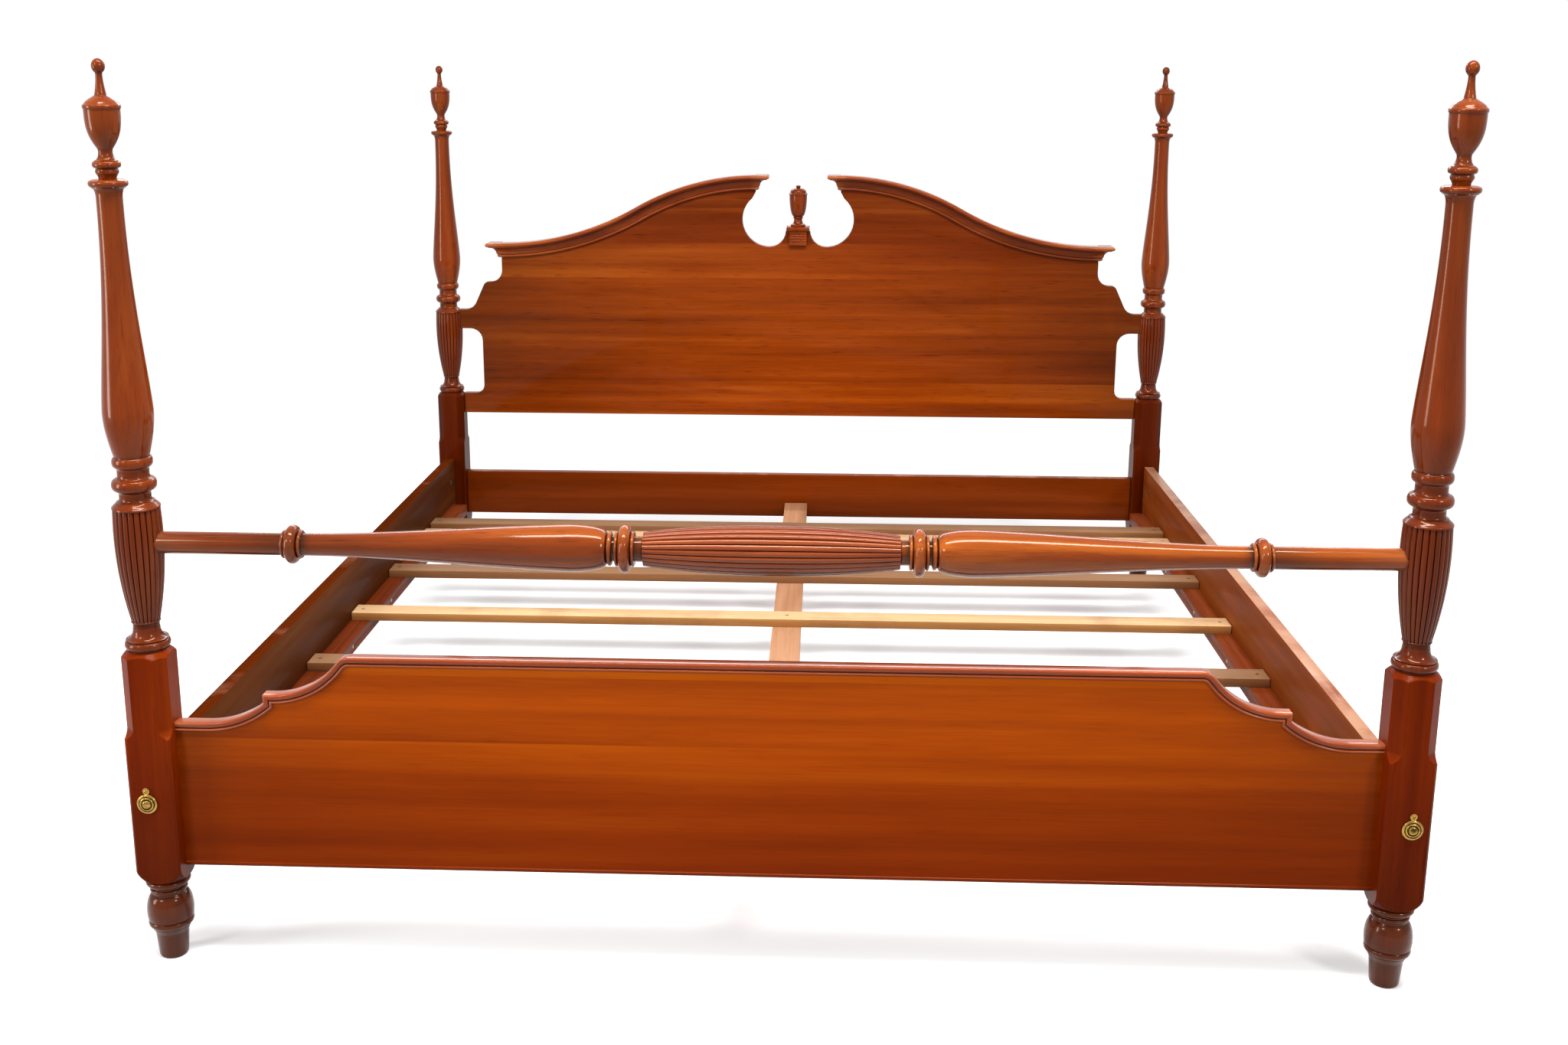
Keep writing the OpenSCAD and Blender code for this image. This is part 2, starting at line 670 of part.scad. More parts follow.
urn_shape = concat(
  [[0, 0], [urn_r - 5, 0], [urn_r - 4.5, 0.025], [urn_r - 6, 0.05]],
  cove_down(0.05, urn_r - 6.5, 0.17, urn_r - 14, 5),
  swell(0.19, 0.235, urn_r - 14, urn_r - 11.5, 4),
  [for (i = [1:7]) let (a = 90 * i / 7) [urn_r - 13 + 12 * sin(a), 0.24 + 0.52 * (1 - cos(a))]],
  [[urn_r, 0.775], [urn_r, 0.795], [urn_r - 2, 0.81]],
  [for (i = [0:5]) let (a = 90 * i / 5) [urn_r - 3 - 15 * (1 - cos(a)), 0.82 + 0.11 * sin(a)]],
  swell(0.935, 1, 4, 6.5, 5),
  [[0, 1]]
);

module centre_urn() {
  color(cherry_dark) translate([0, half_reach, cap_z + cap_t]) {
    rotate_extrude() polygon(section(0, urn_h, urn_shape));
    translate([0, 0, -cap_t - peg_l + 1]) cylinder(r = peg_r, h = cap_t + peg_l);
  }
}

module head_rail() {
  color(cherry) {
    translate([0, half_reach, head_rail_top_z - head_rail_h / 2])
      cube([2 * board_face_x, board_t, head_rail_h], center = true);
    for (sx = [-1, 1]) tenon(hr_tenon_z, sx, half_reach);
  }
}

// outline of the footboard's right half top, lowered square to itself by d
fb_turn = [fb_flat_x, fb_top_z - fb_turn_r];
fb_hollow = fb_turn + (fb_turn_r + fb_hollow_r) * [sin(fb_slope), cos(fb_slope)]
            + 11 * [cos(fb_slope), -sin(fb_slope)];
fb_peak_x = fb_hollow[0] + 13;
fb_peak_z = fb_hollow[1] - fb_hollow_r;
fb_reach_angle = 50.7;
fb_sweep = [fb_peak_x + fb_sweep_r * cos(fb_reach_angle),
            fb_peak_z - fb_step + fb_sweep_r * sin(fb_reach_angle)];
function fb_edge(d) = concat(
  [[0, fb_top_z - d]],
  arc(fb_turn, fb_turn_r - d, 90, 90 - fb_slope, 5),
  arc(fb_hollow, fb_hollow_r + d, 270 - fb_slope, 268, 8),
  [[fb_peak_x - d, fb_peak_z - d]],
  arc(fb_sweep, fb_sweep_r + d,
      180 + acos((fb_sweep_r * cos(fb_reach_angle) + d) / (fb_sweep_r + d)), 270, 8),
  [[board_face_x, fb_sweep[1] - fb_sweep_r - d]]
);

// strip along that edge, between the distances d0 and d1 from it
function edge_strip(d0, d1) =
  let (inner = fb_edge(d1)) concat([for (i = [len(inner) - 1:-1:0]) inner[i]], fb_edge(d0));

module board_xz(pts, y, t) {
  translate([0, y, 0]) rotate([90, 0, 0]) linear_extrude(t) polygon(pts);
}

module footboard_panel() {
  edge = fb_edge(0);
  back = -half_reach + board_t / 2;
  field_t = board_t - band_proud;
  bead_h = 6;
  right = concat([[0, fb_low_z], [board_face_x, fb_low_z]], [for (i = [len(edge) - 1:-1:0]) edge[i]]);
  groove = [0.58 * band_w, 0.68 * band_w];
  color(cherry) {
    board_xz(concat(right, [for (i = [len(right) - 2:-1:0]) [-right[i][0], right[i][1]]]), back, field_t);
    for (sx = [0, 1]) mirror([sx, 0, 0]) for (d = [[0, groove[0]], [groove[1], band_w]])
      board_xz(edge_strip(d[0], d[1]), back - field_t + 2, band_proud + 2);
    translate([-board_face_x, -half_reach - board_t / 2 + 1, fb_low_z])
      cube([2 * board_face_x, band_proud + 1, bead_h]);
    for (sx = [-1, 1]) tenon(fb_tenon_z, sx, -half_reach);
  }
}

// radius of the blanket rail's long swell at distance x from the middle
bar_neck_r = 20;
function bar_swell(t) = pow(1 - t, 2) * (1 + 1.3 * t);
module blanket_half() {
  end_x = half_span - reed_r + socket_l - 0.5;
  out_x = bar_ring_x - 16;
  in_x = bar_disc_x + 20;
  shape = concat(
    [[0, 0], [bar_neck_r - 3, 0], [bar_neck_r - 3, bar_reed_x + 1], [bar_neck_r, bar_reed_x + 1.5]],
    [[bar_neck_r, bar_disc_x - 16]],
    swell(bar_disc_x - 15, bar_disc_x - 10, bar_neck_r + 5, bar_neck_r + 8, 4),
    swell(bar_disc_x - 9, bar_disc_x + 9, bar_neck_r + 7, bar_disc_r, 8),
    swell(bar_disc_x + 10, bar_disc_x + 15, bar_neck_r + 5, bar_neck_r + 8, 4),
    [[bar_neck_r, bar_disc_x + 16], [bar_neck_r, in_x - 1]],
    swell(in_x, in_x + 7, bar_neck_r + 3, bar_neck_r + 7, 4),
    [for (i = [0:6]) let (a = 90 * i / 6)
      [bar_neck_r + 5 + (bar_swell_r - bar_neck_r - 5) * sin(a),
       in_x + 9 + (bar_swell_x - in_x - 9) * (1 - cos(a))]],
    [for (i = [1:12]) let (t = i / 12)
      [bar_r + (bar_swell_r - bar_r) * bar_swell(t), bar_swell_x + (out_x - bar_swell_x) * t]],
    swell(out_x, out_x + 6, bar_r + 1, bar_r + 5, 4),
    swell(out_x + 7, out_x + 25, bar_r + 4, bar_ring_r, 7),
    swell(out_x + 26, out_x + 32, bar_r + 1, bar_r + 5, 4),
    [[bar_r, out_x + 33], [bar_r, end_x - 1], [bar_r - 1, end_x], [0, end_x]]
  );
  rotate([0, 90, 0]) rotate_extrude() polygon(shape);
}

module blanket_rail() {
  color(cherry) translate([0, -half_reach, bar_z]) {
    for (s = [0, 1]) mirror([s, 0, 0]) blanket_half();
    rotate([0, 90, 0]) reeded([for (i = [-6:6]) let (t = i / 6)
      [bar_reed_x * sin(90 * t) + (abs(i) == 6 ? sign(i) * 1 : 0),
       bar_reed_end_r + (bar_reed_r - bar_reed_end_r) * (1 - pow(abs(sin(90 * t)), 2.2)),
       abs(i) == 6 ? reed_depth * 0.6 : reed_depth]]);
  }
}

cleat_len = 2 * (rail_end_y - cleat_end);
cleat_ys = concat([for (i = [0:4]) slat_ys[i] - slat_pitch / 2], [slat_ys[4] + slat_pitch / 2]);
cleat_screw_z = rail_low_z + cleat_h / 2;
slat_end_x = rail_face_x - 1.5;
slat_screw_x = rail_face_x - cleat_w / 2;

module side_rail(sx) {
  color(cherry) difference() {
    union() {
      translate([sx * rail_x, 0, (rail_low_z + rail_top_z) / 2])
        cube([rail_t, 2 * rail_end_y, rail_h], center = true);
      for (sy = [-1, 1])
        translate([sx * rail_x, sy * (rail_end_y + stub_l / 2 - 1), bolt_z])
          cube([tenon_t, stub_l + 2 - 2 * wood_gap, stub_h], center = true);
    }
    for (sy = [-1, 1]) {
      translate([sx * rail_x, sy * (rail_end_y - bolt_reach), bolt_z])
        rotate([-90 * sy, 0, 0]) cylinder(r = bolt_r + wood_gap, h = bolt_reach + stub_l + 5);
      translate([sx * (rail_face_x - 1), sy * (half_reach - half_block - nut_y), bolt_z])
        rotate([0, 90 * sx, 0]) cylinder(r = nut_r + run_gap, h = nut_l + 1);
    }
    for (y = cleat_ys)
      translate([sx * (rail_face_x - 1), y, cleat_screw_z])
        rotate([0, 90 * sx, 0]) cylinder(r = screw_r + run_gap, h = cleat_screw_l - cleat_w + 2);
  }
}

nut_l = rail_t - 5;

module cleat(sx) {
  color(cherry_dark) difference() {
    translate([sx * (rail_face_x - cleat_w / 2), 0, rail_low_z + cleat_h / 2])
      cube([cleat_w, cleat_len, cleat_h], center = true);
    for (y = slat_ys)
      translate([sx * slat_screw_x, y, slat_top_z - slat_screw_l - 1])
        cylinder(r = screw_r + run_gap, h = slat_screw_l);
    for (y = cleat_ys)
      translate([sx * (rail_face_x - cleat_w - 1), y, cleat_screw_z]) rotate([0, 90 * sx, 0]) {
        cylinder(r = screw_r + run_gap, h = cleat_w + 2);
        cylinder(r = 2 * screw_r + run_gap, h = 1 + screw_r + run_gap);
      }
  }
}

// slats count from the foot end
module slat(i) {
  color(pale_wood) difference() {
    translate([0, slat_ys[i - 1], slat_low_z + slat_t / 2])
      cube([2 * slat_end_x, slat_w, slat_t], center = true);
    for (x = [-slat_screw_x, 0, slat_screw_x])
      translate([x, slat_ys[i - 1], slat_low_z - 1]) {
        cylinder(r = screw_r + run_gap, h = slat_t + 2);
        translate([0, 0, slat_t + 1 - screw_r - run_gap])
          cylinder(r = 2 * screw_r + run_gap, h = screw_r + 1);
      }
  }
}

module centre_support() {
  color(pale_wood) difference() {
    translate([0, 0, support_low_z + support_t / 2])
      cube([support_w, 2 * (half_reach - board_t / 2 - 0.5), support_t], center = true);
    for (y = slat_ys)
      translate([0, y, support_low_z - 1]) cylinder(r = screw_r + run_gap, h = support_t + 2);
  }
}

module support_leg(i) {
  bevel = 3;
  color(pale_wood) translate([0, leg_ys[i - 1], 0]) difference() {
    translate([-leg_w / 2, -leg_w / 2, 0]) cube([leg_w, leg_w, support_low_z]);
    for (k = [0:3]) rotate([0, 0, 90 * k])
      translate([leg_w / 2, 0, 0]) rotate([0, 45, 0]) cube([bevel, leg_w + 2, bevel], center = true);
  }
}

// the cover hangs from its screw, flat on the post
module bolt_cover(sx, sy) {
  at_post(sx, sy) color(brass)
    translate([-rail_out, -half_block - seat_gap, bolt_z]) rotate([90, 0, 0]) {
      difference() {
        union() {
          cylinder(r = cover_r, h = cover_t);
          translate([0, cover_drop, 0]) cylinder(r = eyelet_r, h = cover_t);
          translate([-eyelet_r * 0.75, 0, 0]) cube([eyelet_r * 1.5, cover_drop - 2, cover_t]);
        }
        translate([0, cover_drop, -1]) cylinder(r = pin_r + run_gap, h = cover_t + 2);
      }
      translate([0, 0, cover_t - 0.1]) rotate_extrude() polygon(concat(
        [[0, 0], [cover_r - 1, 0], [cover_r - 2, 1.3], [cover_r - 4.5, 1], [cover_r - 6, 2.6],
         [cover_r - 8.5, 2.4]],
        [for (i = [0:5]) let (a = 90 * i / 5) [(cover_r - 9.5) * cos(a), 2.4 + 3.2 * sin(a)]]));
    }
}

// round-headed pivot screws of the covers
module cover_screws() {
  head_h = 2;
  for (sx = [-1, 1]) for (sy = [-1, 1])
    at_post(sx, sy) color(brass)
      translate([-rail_out, -half_block, bolt_z + cover_drop]) rotate([90, 0, 0]) {
        translate([0, 0, -14]) cylinder(r = pin_r, h = 14 + cover_t + 2 * seat_gap + 0.5);
        translate([0, 0, cover_t + 2 * seat_gap]) rotate_extrude() polygon(concat(
          [[0, 0]], [for (i = [0:5]) let (a = 90 * i / 5) [2 * pin_r * cos(a), head_h * sin(a)]]));
      }
}

module bed_bolts() {
  y0 = -half_block + counter_l;
  for (sx = [-1, 1]) for (sy = [-1, 1])
    at_post(sx, sy) color(steel) translate([-rail_out, y0, bolt_z]) {
      translate([0, -bolt_head_t / 2, 0]) cube([bolt_head_w, bolt_head_t, bolt_head_w], center = true);
      rotate([-90, 0, 0]) translate([0, 0, -1])
        cylinder(r = bolt_r, h = block_w - counter_l + bolt_reach + 1);
    }
}

module barrel_nuts() {
  for (sx = [-1, 1]) for (sy = [-1, 1])
    color(steel) difference() {
      translate([sx * rail_face_x, sy * (half_reach - half_block - nut_y), bolt_z])
        rotate([0, 90 * sx, 0]) cylinder(r = nut_r, h = nut_l - 0.5);
      translate([sx * rail_x, sy * (half_reach - half_block - nut_y) - 2 * nut_r, bolt_z])
        bore_y(bolt_r + run_gap, 0, 4 * nut_r);
    }
}

// countersunk screw along +Z, its head's face at the origin
module wood_screw(length) {
  translate([0, 0, -length]) cylinder(r = screw_r, h = length - 0.5);
  translate([0, 0, -screw_r]) cylinder(r1 = screw_r, r2 = 2 * screw_r, h = screw_r);
}

module slat_screws() {
  for (y = slat_ys) for (x = [-slat_screw_x, 0, slat_screw_x])
    color(steel) translate([x, y, slat_top_z]) wood_screw(slat_screw_l);
}

module cleat_screws() {
  for (sx = [-1, 1]) for (y = cleat_ys)
    color(steel) translate([sx * (rail_face_x - cleat_w), y, cleat_screw_z])
      rotate([0, -90 * sx, 0]) wood_screw(cleat_screw_l);
}

foot_post(-1);  // foot_post_left
foot_post(1);  // foot_post_right
head_post(-1);  // head_post_left
head_post(1);  // head_post_right
finial(-1, -1);  // foot_finial_left
finial(1, -1);  // foot_finial_right
finial(-1, 1);  // head_finial_left
finial(1, 1);  // head_finial_right
headboard_panel();
crown_moulding(-1);  // crown_moulding_left
crown_moulding(1);  // crown_moulding_right
plinth_block();
plinth_cap();
centre_urn();
head_rail();
footboard_panel();
blanket_rail();
side_rail(-1);  // side_rail_left
side_rail(1);  // side_rail_right
cleat(-1);  // cleat_left
cleat(1);  // cleat_right
slat(1);  // slat_1
slat(2);  // slat_2
slat(3);  // slat_3
slat(4);  // slat_4
slat(5);  // slat_5
slat(6);  // slat_6
centre_support();
support_leg(1);  // support_leg_1
support_leg(2);  // support_leg_2
support_leg(3);  // support_leg_3
bolt_cover(-1, -1);  // foot_bolt_cover_left
bolt_cover(1, -1);  // foot_bolt_cover_right
bolt_cover(-1, 1);  // head_bolt_cover_left
bolt_cover(1, 1);  // head_bolt_cover_right
cover_screws();
bed_bolts();
barrel_nuts();
slat_screws();
cleat_screws();
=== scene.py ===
import bpy
import bmesh
import json
from math import acos, asin, atan, copysign, cos, degrees, pi, radians, sin, sqrt
from mathutils import Matrix, Vector

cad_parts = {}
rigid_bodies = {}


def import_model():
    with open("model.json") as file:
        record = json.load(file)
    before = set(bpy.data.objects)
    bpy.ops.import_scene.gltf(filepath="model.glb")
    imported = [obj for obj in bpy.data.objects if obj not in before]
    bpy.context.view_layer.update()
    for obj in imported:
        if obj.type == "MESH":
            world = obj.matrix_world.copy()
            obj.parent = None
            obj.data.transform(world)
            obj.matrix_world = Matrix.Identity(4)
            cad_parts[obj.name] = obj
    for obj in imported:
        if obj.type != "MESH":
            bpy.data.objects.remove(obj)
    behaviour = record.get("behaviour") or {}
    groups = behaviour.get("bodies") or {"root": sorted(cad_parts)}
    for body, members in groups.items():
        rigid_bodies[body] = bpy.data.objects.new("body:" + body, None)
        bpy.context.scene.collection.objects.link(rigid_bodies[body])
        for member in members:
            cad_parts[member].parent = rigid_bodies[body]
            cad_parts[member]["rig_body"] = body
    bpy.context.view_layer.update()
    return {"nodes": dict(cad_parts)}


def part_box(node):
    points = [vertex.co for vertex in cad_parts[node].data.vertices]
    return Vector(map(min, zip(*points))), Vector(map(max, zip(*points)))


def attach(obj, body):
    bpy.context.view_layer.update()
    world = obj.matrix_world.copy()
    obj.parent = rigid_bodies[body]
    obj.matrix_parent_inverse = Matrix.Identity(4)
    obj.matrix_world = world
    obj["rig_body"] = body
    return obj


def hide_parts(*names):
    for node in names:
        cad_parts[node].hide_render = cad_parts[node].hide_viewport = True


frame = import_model()
mm = 0.001
print("frame loaded:", len(frame["nodes"]), "nodes")

# the photograph's viewpoint, fitted to the four posts: metres, degrees and photo pixels
viewpoint = {
    "position": (0.0792, -3.4526, 1.4287), "yaw": -2.403, "pitch": 12.845, "roll": 0.109,
    "focalPixels": 2105.5, "centrePixel": (990.2, 577.0), "photoSize": (2048, 1365),
    "sensor": 36.0, "farthest": 60.0,
}


def placeCamera(view):
    yaw, pitch, roll = (radians(view[k]) for k in ("yaw", "pitch", "roll"))
    ahead = Vector((sin(yaw) * cos(pitch), cos(yaw) * cos(pitch), -sin(pitch)))
    level = Vector((cos(yaw), -sin(yaw), 0))
    upright = level.cross(ahead)
    right = level * cos(roll) + upright * sin(roll)
    up = upright * cos(roll) - level * sin(roll)
    width, height = view["photoSize"]
    lens = bpy.data.cameras.new("photoCamera")
    lens.sensor_width = view["sensor"]
    lens.lens = view["sensor"] * view["focalPixels"] / width
    lens.shift_x = (width / 2 - view["centrePixel"][0]) / width
    lens.shift_y = (view["centrePixel"][1] - height / 2) / width
    lens.clip_end = view["farthest"]
    camera = bpy.data.objects.new("photoCamera", lens)
    turn = Matrix((right, up, -ahead)).transposed().to_4x4()
    camera.matrix_world = Matrix.Translation(view["position"]) @ turn
    bpy.context.collection.objects.link(camera)
    bpy.context.scene.camera = camera


placeCamera(viewpoint)
bpy.context.scene.view_settings.view_transform = "Standard"


# nodes

# a screen colour, 0 to 255, as the linear colour that a shader takes
def linear(r, g, b):
    return tuple((c / 255 / 12.92 if c <= 10 else ((c / 255 + 0.055) / 1.055) ** 2.4)
                 for c in (r, g, b)) + (1,)


def addNode(tree, kind, sockets=None, **settings):
    node = tree.nodes.new(kind)
    for key, value in settings.items():
        setattr(node, key, value)
    for key, value in (sockets or {}).items():
        if isinstance(value, bpy.types.NodeSocket):
            tree.links.new(value, node.inputs[key])
        else:
            node.inputs[key].default_value = value
    return node


# a node in the tree that its inputs come from
def nodeOn(kind, sockets, **settings):
    tree = next(value.id_data for value in sockets.values() if isinstance(value, bpy.types.NodeSocket))
    return addNode(tree, kind, sockets, **settings)


# one output of such a node
def valueOf(kind, sockets, output=0, **settings):
    return nodeOn(kind, sockets, **settings).outputs[output]


def sums(operation, a, b=0.0, c=0.0):
    return valueOf("ShaderNodeMath", {0: a, 1: b, 2: c}, operation=operation)


def product(first, *others):
    for other in others:
        first = sums("MULTIPLY", first, other)
    return first


# base, plus strength times how far the value lies from the centre
def leaning(value, strength, base, centre=0.5):
    return sums("MULTIPLY_ADD", sums("SUBTRACT", value, centre), strength, base)


def ranged(value, low, high, start=0.0, end=1.0, **how):
    sockets = {"Value": value, "From Min": low, "From Max": high, "To Min": start, "To Max": end}
    return valueOf("ShaderNodeMapRange", sockets, **how)


def mixed(amount, a, b, **how):
    sockets = {"Factor": amount, "A": a, "B": b}
    return valueOf("ShaderNodeMix", sockets, "Result", data_type="RGBA", **how)


def shaded(color, shade):
    return mixed(1.0, color, shade, blend_type="MULTIPLY")


def grey(value):
    return valueOf("ShaderNodeCombineColor", {0: value, 1: value, 2: value})


def cloudy(place, scale, detail, roughness=0.5, distortion=0.0):
    return valueOf("ShaderNodeTexNoise", {"Vector": place, "Scale": scale, "Detail": detail,
                                          "Roughness": roughness, "Distortion": distortion}, "Fac")


def axisOf(vector, index):
    return valueOf("ShaderNodeSeparateXYZ", {0: vector}, index)


def surfaceOf(tree, name):
    return addNode(tree, "ShaderNodeNewGeometry").outputs[name]


def rampOf(value, stops):
    ramp = nodeOn("ShaderNodeValToRGB", {"Fac": value})
    cells = ramp.color_ramp.elements
    while len(cells) < len(stops):
        cells.new(0.5)
    for cell, (place, color) in zip(cells, stops):
        cell.position = place
        cell.color = color
    return ramp.outputs["Color"]


def startMaterial(name):
    material = bpy.data.materials.new(name)
    material.use_nodes = True
    tree = material.node_tree
    tree.nodes.clear()
    return material, tree, addNode(tree, "ShaderNodeTexCoord").outputs["Object"]


# bump: strength, depth in metres and height
def finishShader(color, roughness, bump=None, **constants):
    shader = nodeOn("ShaderNodeBsdfPrincipled", {"Base Color": color, "Roughness": roughness})
    for key, value in constants.items():
        shader.inputs[key.replace("_", " ")].default_value = value
    if bump:
        raised = valueOf("ShaderNodeBump", dict(zip(("Strength", "Distance", "Height"), bump)))
        color.id_data.links.new(raised, shader.inputs["Normal"])
    nodeOn("ShaderNodeOutputMaterial", {"Surface": shader.outputs[0]})


# materials

# for all varnished wood; a noise is its scale along and across the grain, detail, roughness, distortion
woodGrain = {
    "axes": {"X": (0, 2, 1), "Y": (1, 2, 0), "Z": (2, 0, 1)},
    "figure": (0.5, 6.0, 1.5, 0.4, 0.1), "ringCount": 75.0, "ringFade": (1.6, 5.0, 1.0),
    "band": (0.6, 30.0, 4.0, 0.55), "patch": (0.9, 7.0, 2.0), "fibre": (9.0, 420.0, 3.0, 0.65),
    "fleck": (16.0, 170.0, 2.0), "fleckRange": (0.6, 0.8), "boardSeed": 7.3, "boardShift": 5.7,
    "stops": (0.12, 0.5, 0.88), "shadeHeight": 1.5,
    # highlightCrest: pointiness range and amount of a painted highlight on ridges and sharp edges
    # hollow: pointiness range and amount that darkens the grooves, partly dirt and partly painted shade
    "hollow": (0.44, 0.5, 0.95, 0.0), "highlightCrest": (0.51, 0.64, 0.0, 0.6),  # pointiness and the amount it gives
    "facing": (0.35, 0.85), "wearDetail": (6.0, 0.62), "shine": 0.14, "bump": (0.12, 0.0004),
    "index": 1.5, "coatRoughness": 0.06, "tint": (1.0, 0.5, 0.2, 1),
}


# a board or turning of varnished wood: dark, middle and light tones by bands, rings, fibres and patches
# boards: width, start and contrast; heightShade: painted light and shade by share of the shade height;
# sideShade: painted shade, darker to the sides
# wear: scale, noise at which it starts, noise at which it is full, amount, colour
# recess: colour of the grooves and hollows, partly dirt and partly painted shade
# wearAndHighlight: colour of a painted highlight on ridges and sharp edges
def makeWood(name, dark, middle, light, grain="X", boards=None, gloss=0.5, coat=0.03, rings=0.04,
             bands=0.3, patches=0.22, fibres=0.12, flecks=0.16, recess=None, wearAndHighlight=None, wear=None,
             heightShade=None, sideShade=0.0, mirror=0.14, seed=0.0):
    look = woodGrain
    material, tree, place = startMaterial(name)
    along, across, deep = (axisOf(place, i) for i in look["axes"][grain])
    along = sums("ADD", along, seed)
    tone = 0.5
    if boards:
        width, start, contrast = boards
        cell = sums("FLOOR", sums("DIVIDE", sums("SUBTRACT", across, start), width))
        own = {"W": sums("ADD", cell, look["boardSeed"] + seed)}
        chance = valueOf("ShaderNodeTexWhiteNoise", own, "Value", noise_dimensions="1D")
        along = sums("MULTIPLY_ADD", chance, look["boardShift"], along)
        tone = leaning(chance, contrast * 2, tone)

    def noise(alongScale, acrossScale, *how):
        spot = {0: product(along, alongScale), 1: product(across, acrossScale),
                2: product(deep, acrossScale)}
        return cloudy(valueOf("ShaderNodeCombineXYZ", spot), 1.0, *how)

    ring = sums("SINE", product(noise(*look["figure"]), look["ringCount"]))
    ring = product(ring, noise(*look["ringFade"]))
    fibre = noise(*look["fibre"])
    fleck = ranged(noise(*look["fleck"]), *look["fleckRange"], 0.0, -flecks)
    tone = leaning(ring, rings, tone, 0.0)
    band, patch = noise(*look["band"]), noise(*look["patch"])
    for value, strength in ((band, bands), (patch, patches), (fibre, fibres)):
        tone = leaning(value, strength * 2, tone)
    tone = sums("ADD", fleck, tone)
    color = rampOf(tone, list(zip(look["stops"], (linear(*c) for c in (dark, middle, light)))))
    # painted light and shade by height: the colour is multiplied by a table over the shade height
    if heightShade:
        level = sums("DIVIDE", axisOf(place, 2), look["shadeHeight"])
        color = shaded(color, rampOf(level, [(stop[0], stop[1:] + (1,)) for stop in heightShade]))
    # painted shade: darker towards both sides, by the square of the distance from the middle
    if sideShade:
        aside = axisOf(place, 0)
        fall = sums("MULTIPLY_ADD", product(aside, aside), -sideShade, 1.0)
        color = shaded(color, grey(fall))
    # hollows take the recess colour, partly dirt and partly painted shade; ridges take the painted
    # highlight colour
    for stainAndPaintedLight, reach in ((recess, look["hollow"]), (wearAndHighlight, look["highlightCrest"])):
        if stainAndPaintedLight:
            color = mixed(ranged(surfaceOf(tree, "Pointiness"), *reach), color, linear(*stainAndPaintedLight))
    if wear:
        color = wearDown(tree, color, place, *wear)
    finishShader(color, leaning(fibre, look["shine"], gloss), (*look["bump"], fibre), IOR=look["index"],
                 Specular_IOR_Level=mirror, Specular_Tint=look["tint"], Coat_Weight=coat,
                 Coat_Roughness=look["coatRoughness"])
    return material


# rubbed patches on faces that look straight up
def wearDown(tree, color, place, scale, start, full, amount, bare):
    wearAndHighlight = ranged(cloudy(place, scale, *woodGrain["wearDetail"]), start, full)
    facing = ranged(axisOf(surfaceOf(tree, "Normal"), 2), *woodGrain["facing"])
    return mixed(product(wearAndHighlight, facing, amount), color, linear(*bare))


# bare wood of the slats, on which each slat's own tone decides how old it looks
slatLook = {
    # edge: colour of the slats' sides, a painted shade against the lighter upward faces
    "face": (232, 188, 136), "edge": (168, 112, 54), "dirt": (118, 72, 40), "upward": (0.1, 0.8),
    "band": ((1.5, 40.0, 40.0), 4.0, 0.6), "bandContrast": 0.9,
    "fibre": ((14.0, 380.0, 380.0), 3.0, 0.6), "fibreContrast": 0.45, "brightness": 0.92,
    "age": (0.3, 0.9, 0.0, 0.8), "stainAndPaintedLight": (5.0, 5.0, 0.65), "grime": (0.5, 0.72, 0.0, 0.45),
    "roughness": 0.62, "index": 1.45, "bump": (0.3, 0.0006),
}


def makeSlatWood(name, look):
    material, tree, place = startMaterial(name)

    def grain(stretch, *how):
        spot = valueOf("ShaderNodeMapping", {"Vector": place, "Scale": stretch})
        return cloudy(spot, 1.0, *how)

    face, edge, dirt = (linear(*look[k]) for k in ("face", "edge", "dirt"))
    fibre = grain(*look["fibre"])
    own = addNode(tree, "ShaderNodeAttribute", attribute_name="slatTone").outputs["Fac"]
    top = ranged(axisOf(surfaceOf(tree, "Normal"), 2), *look["upward"])
    # upward faces take the face colour and the sides the darker edge colour: painted shade on the sides
    color = mixed(ranged(own, *look["age"]), mixed(top, edge, face), dirt)
    tone = leaning(grain(*look["band"]), look["bandContrast"],
                   leaning(fibre, look["fibreContrast"], look["brightness"]))
    color = shaded(color, grey(tone))
    grime = ranged(cloudy(place, *look["stainAndPaintedLight"]), *look["grime"])
    color = mixed(grime, color, dirt)
    finishShader(color, look["roughness"], (*look["bump"], fibre), IOR=look["index"])
    return material


metalLook = {"cloud": (5.0, 0.6), "stops": (0.3, 0.62), "shine": -0.3}


# metal, duller in patches and, where asked, in its recesses
def makeMetal(name, bright, dull, roughness, scale, recess=None):
    material, tree, place = startMaterial(name)
    cloud = cloudy(place, scale, *metalLook["cloud"])
    amount = cloud
    if recess:
        amount = sums("ADD", cloud, ranged(surfaceOf(tree, "Pointiness"), *recess))
    color = rampOf(amount, list(zip(metalLook["stops"], (linear(*dull), linear(*bright)))))
    finishShader(color, leaning(cloud, metalLook["shine"], roughness), Metallic=1.0)
    return material


# colour of the grooves and hollows, partly dirt in the finish and partly painted shade
grooveDirtAndShade = (44, 13, 4)
# share of the shade height, then red, green and blue of a painted shade, darker towards the floor and
# towards the vase tops: feet, barrels, ring stacks and vases of a post
turnedHeightShade = [(0.0, 0.26, 0.2, 0.13), (0.09, 0.28, 0.22, 0.15), (0.37, 0.44, 0.34, 0.22),
               (0.5, 0.5, 0.4, 0.3), (0.6, 0.76, 0.7, 0.56), (0.78, 0.6, 0.55, 0.46)]
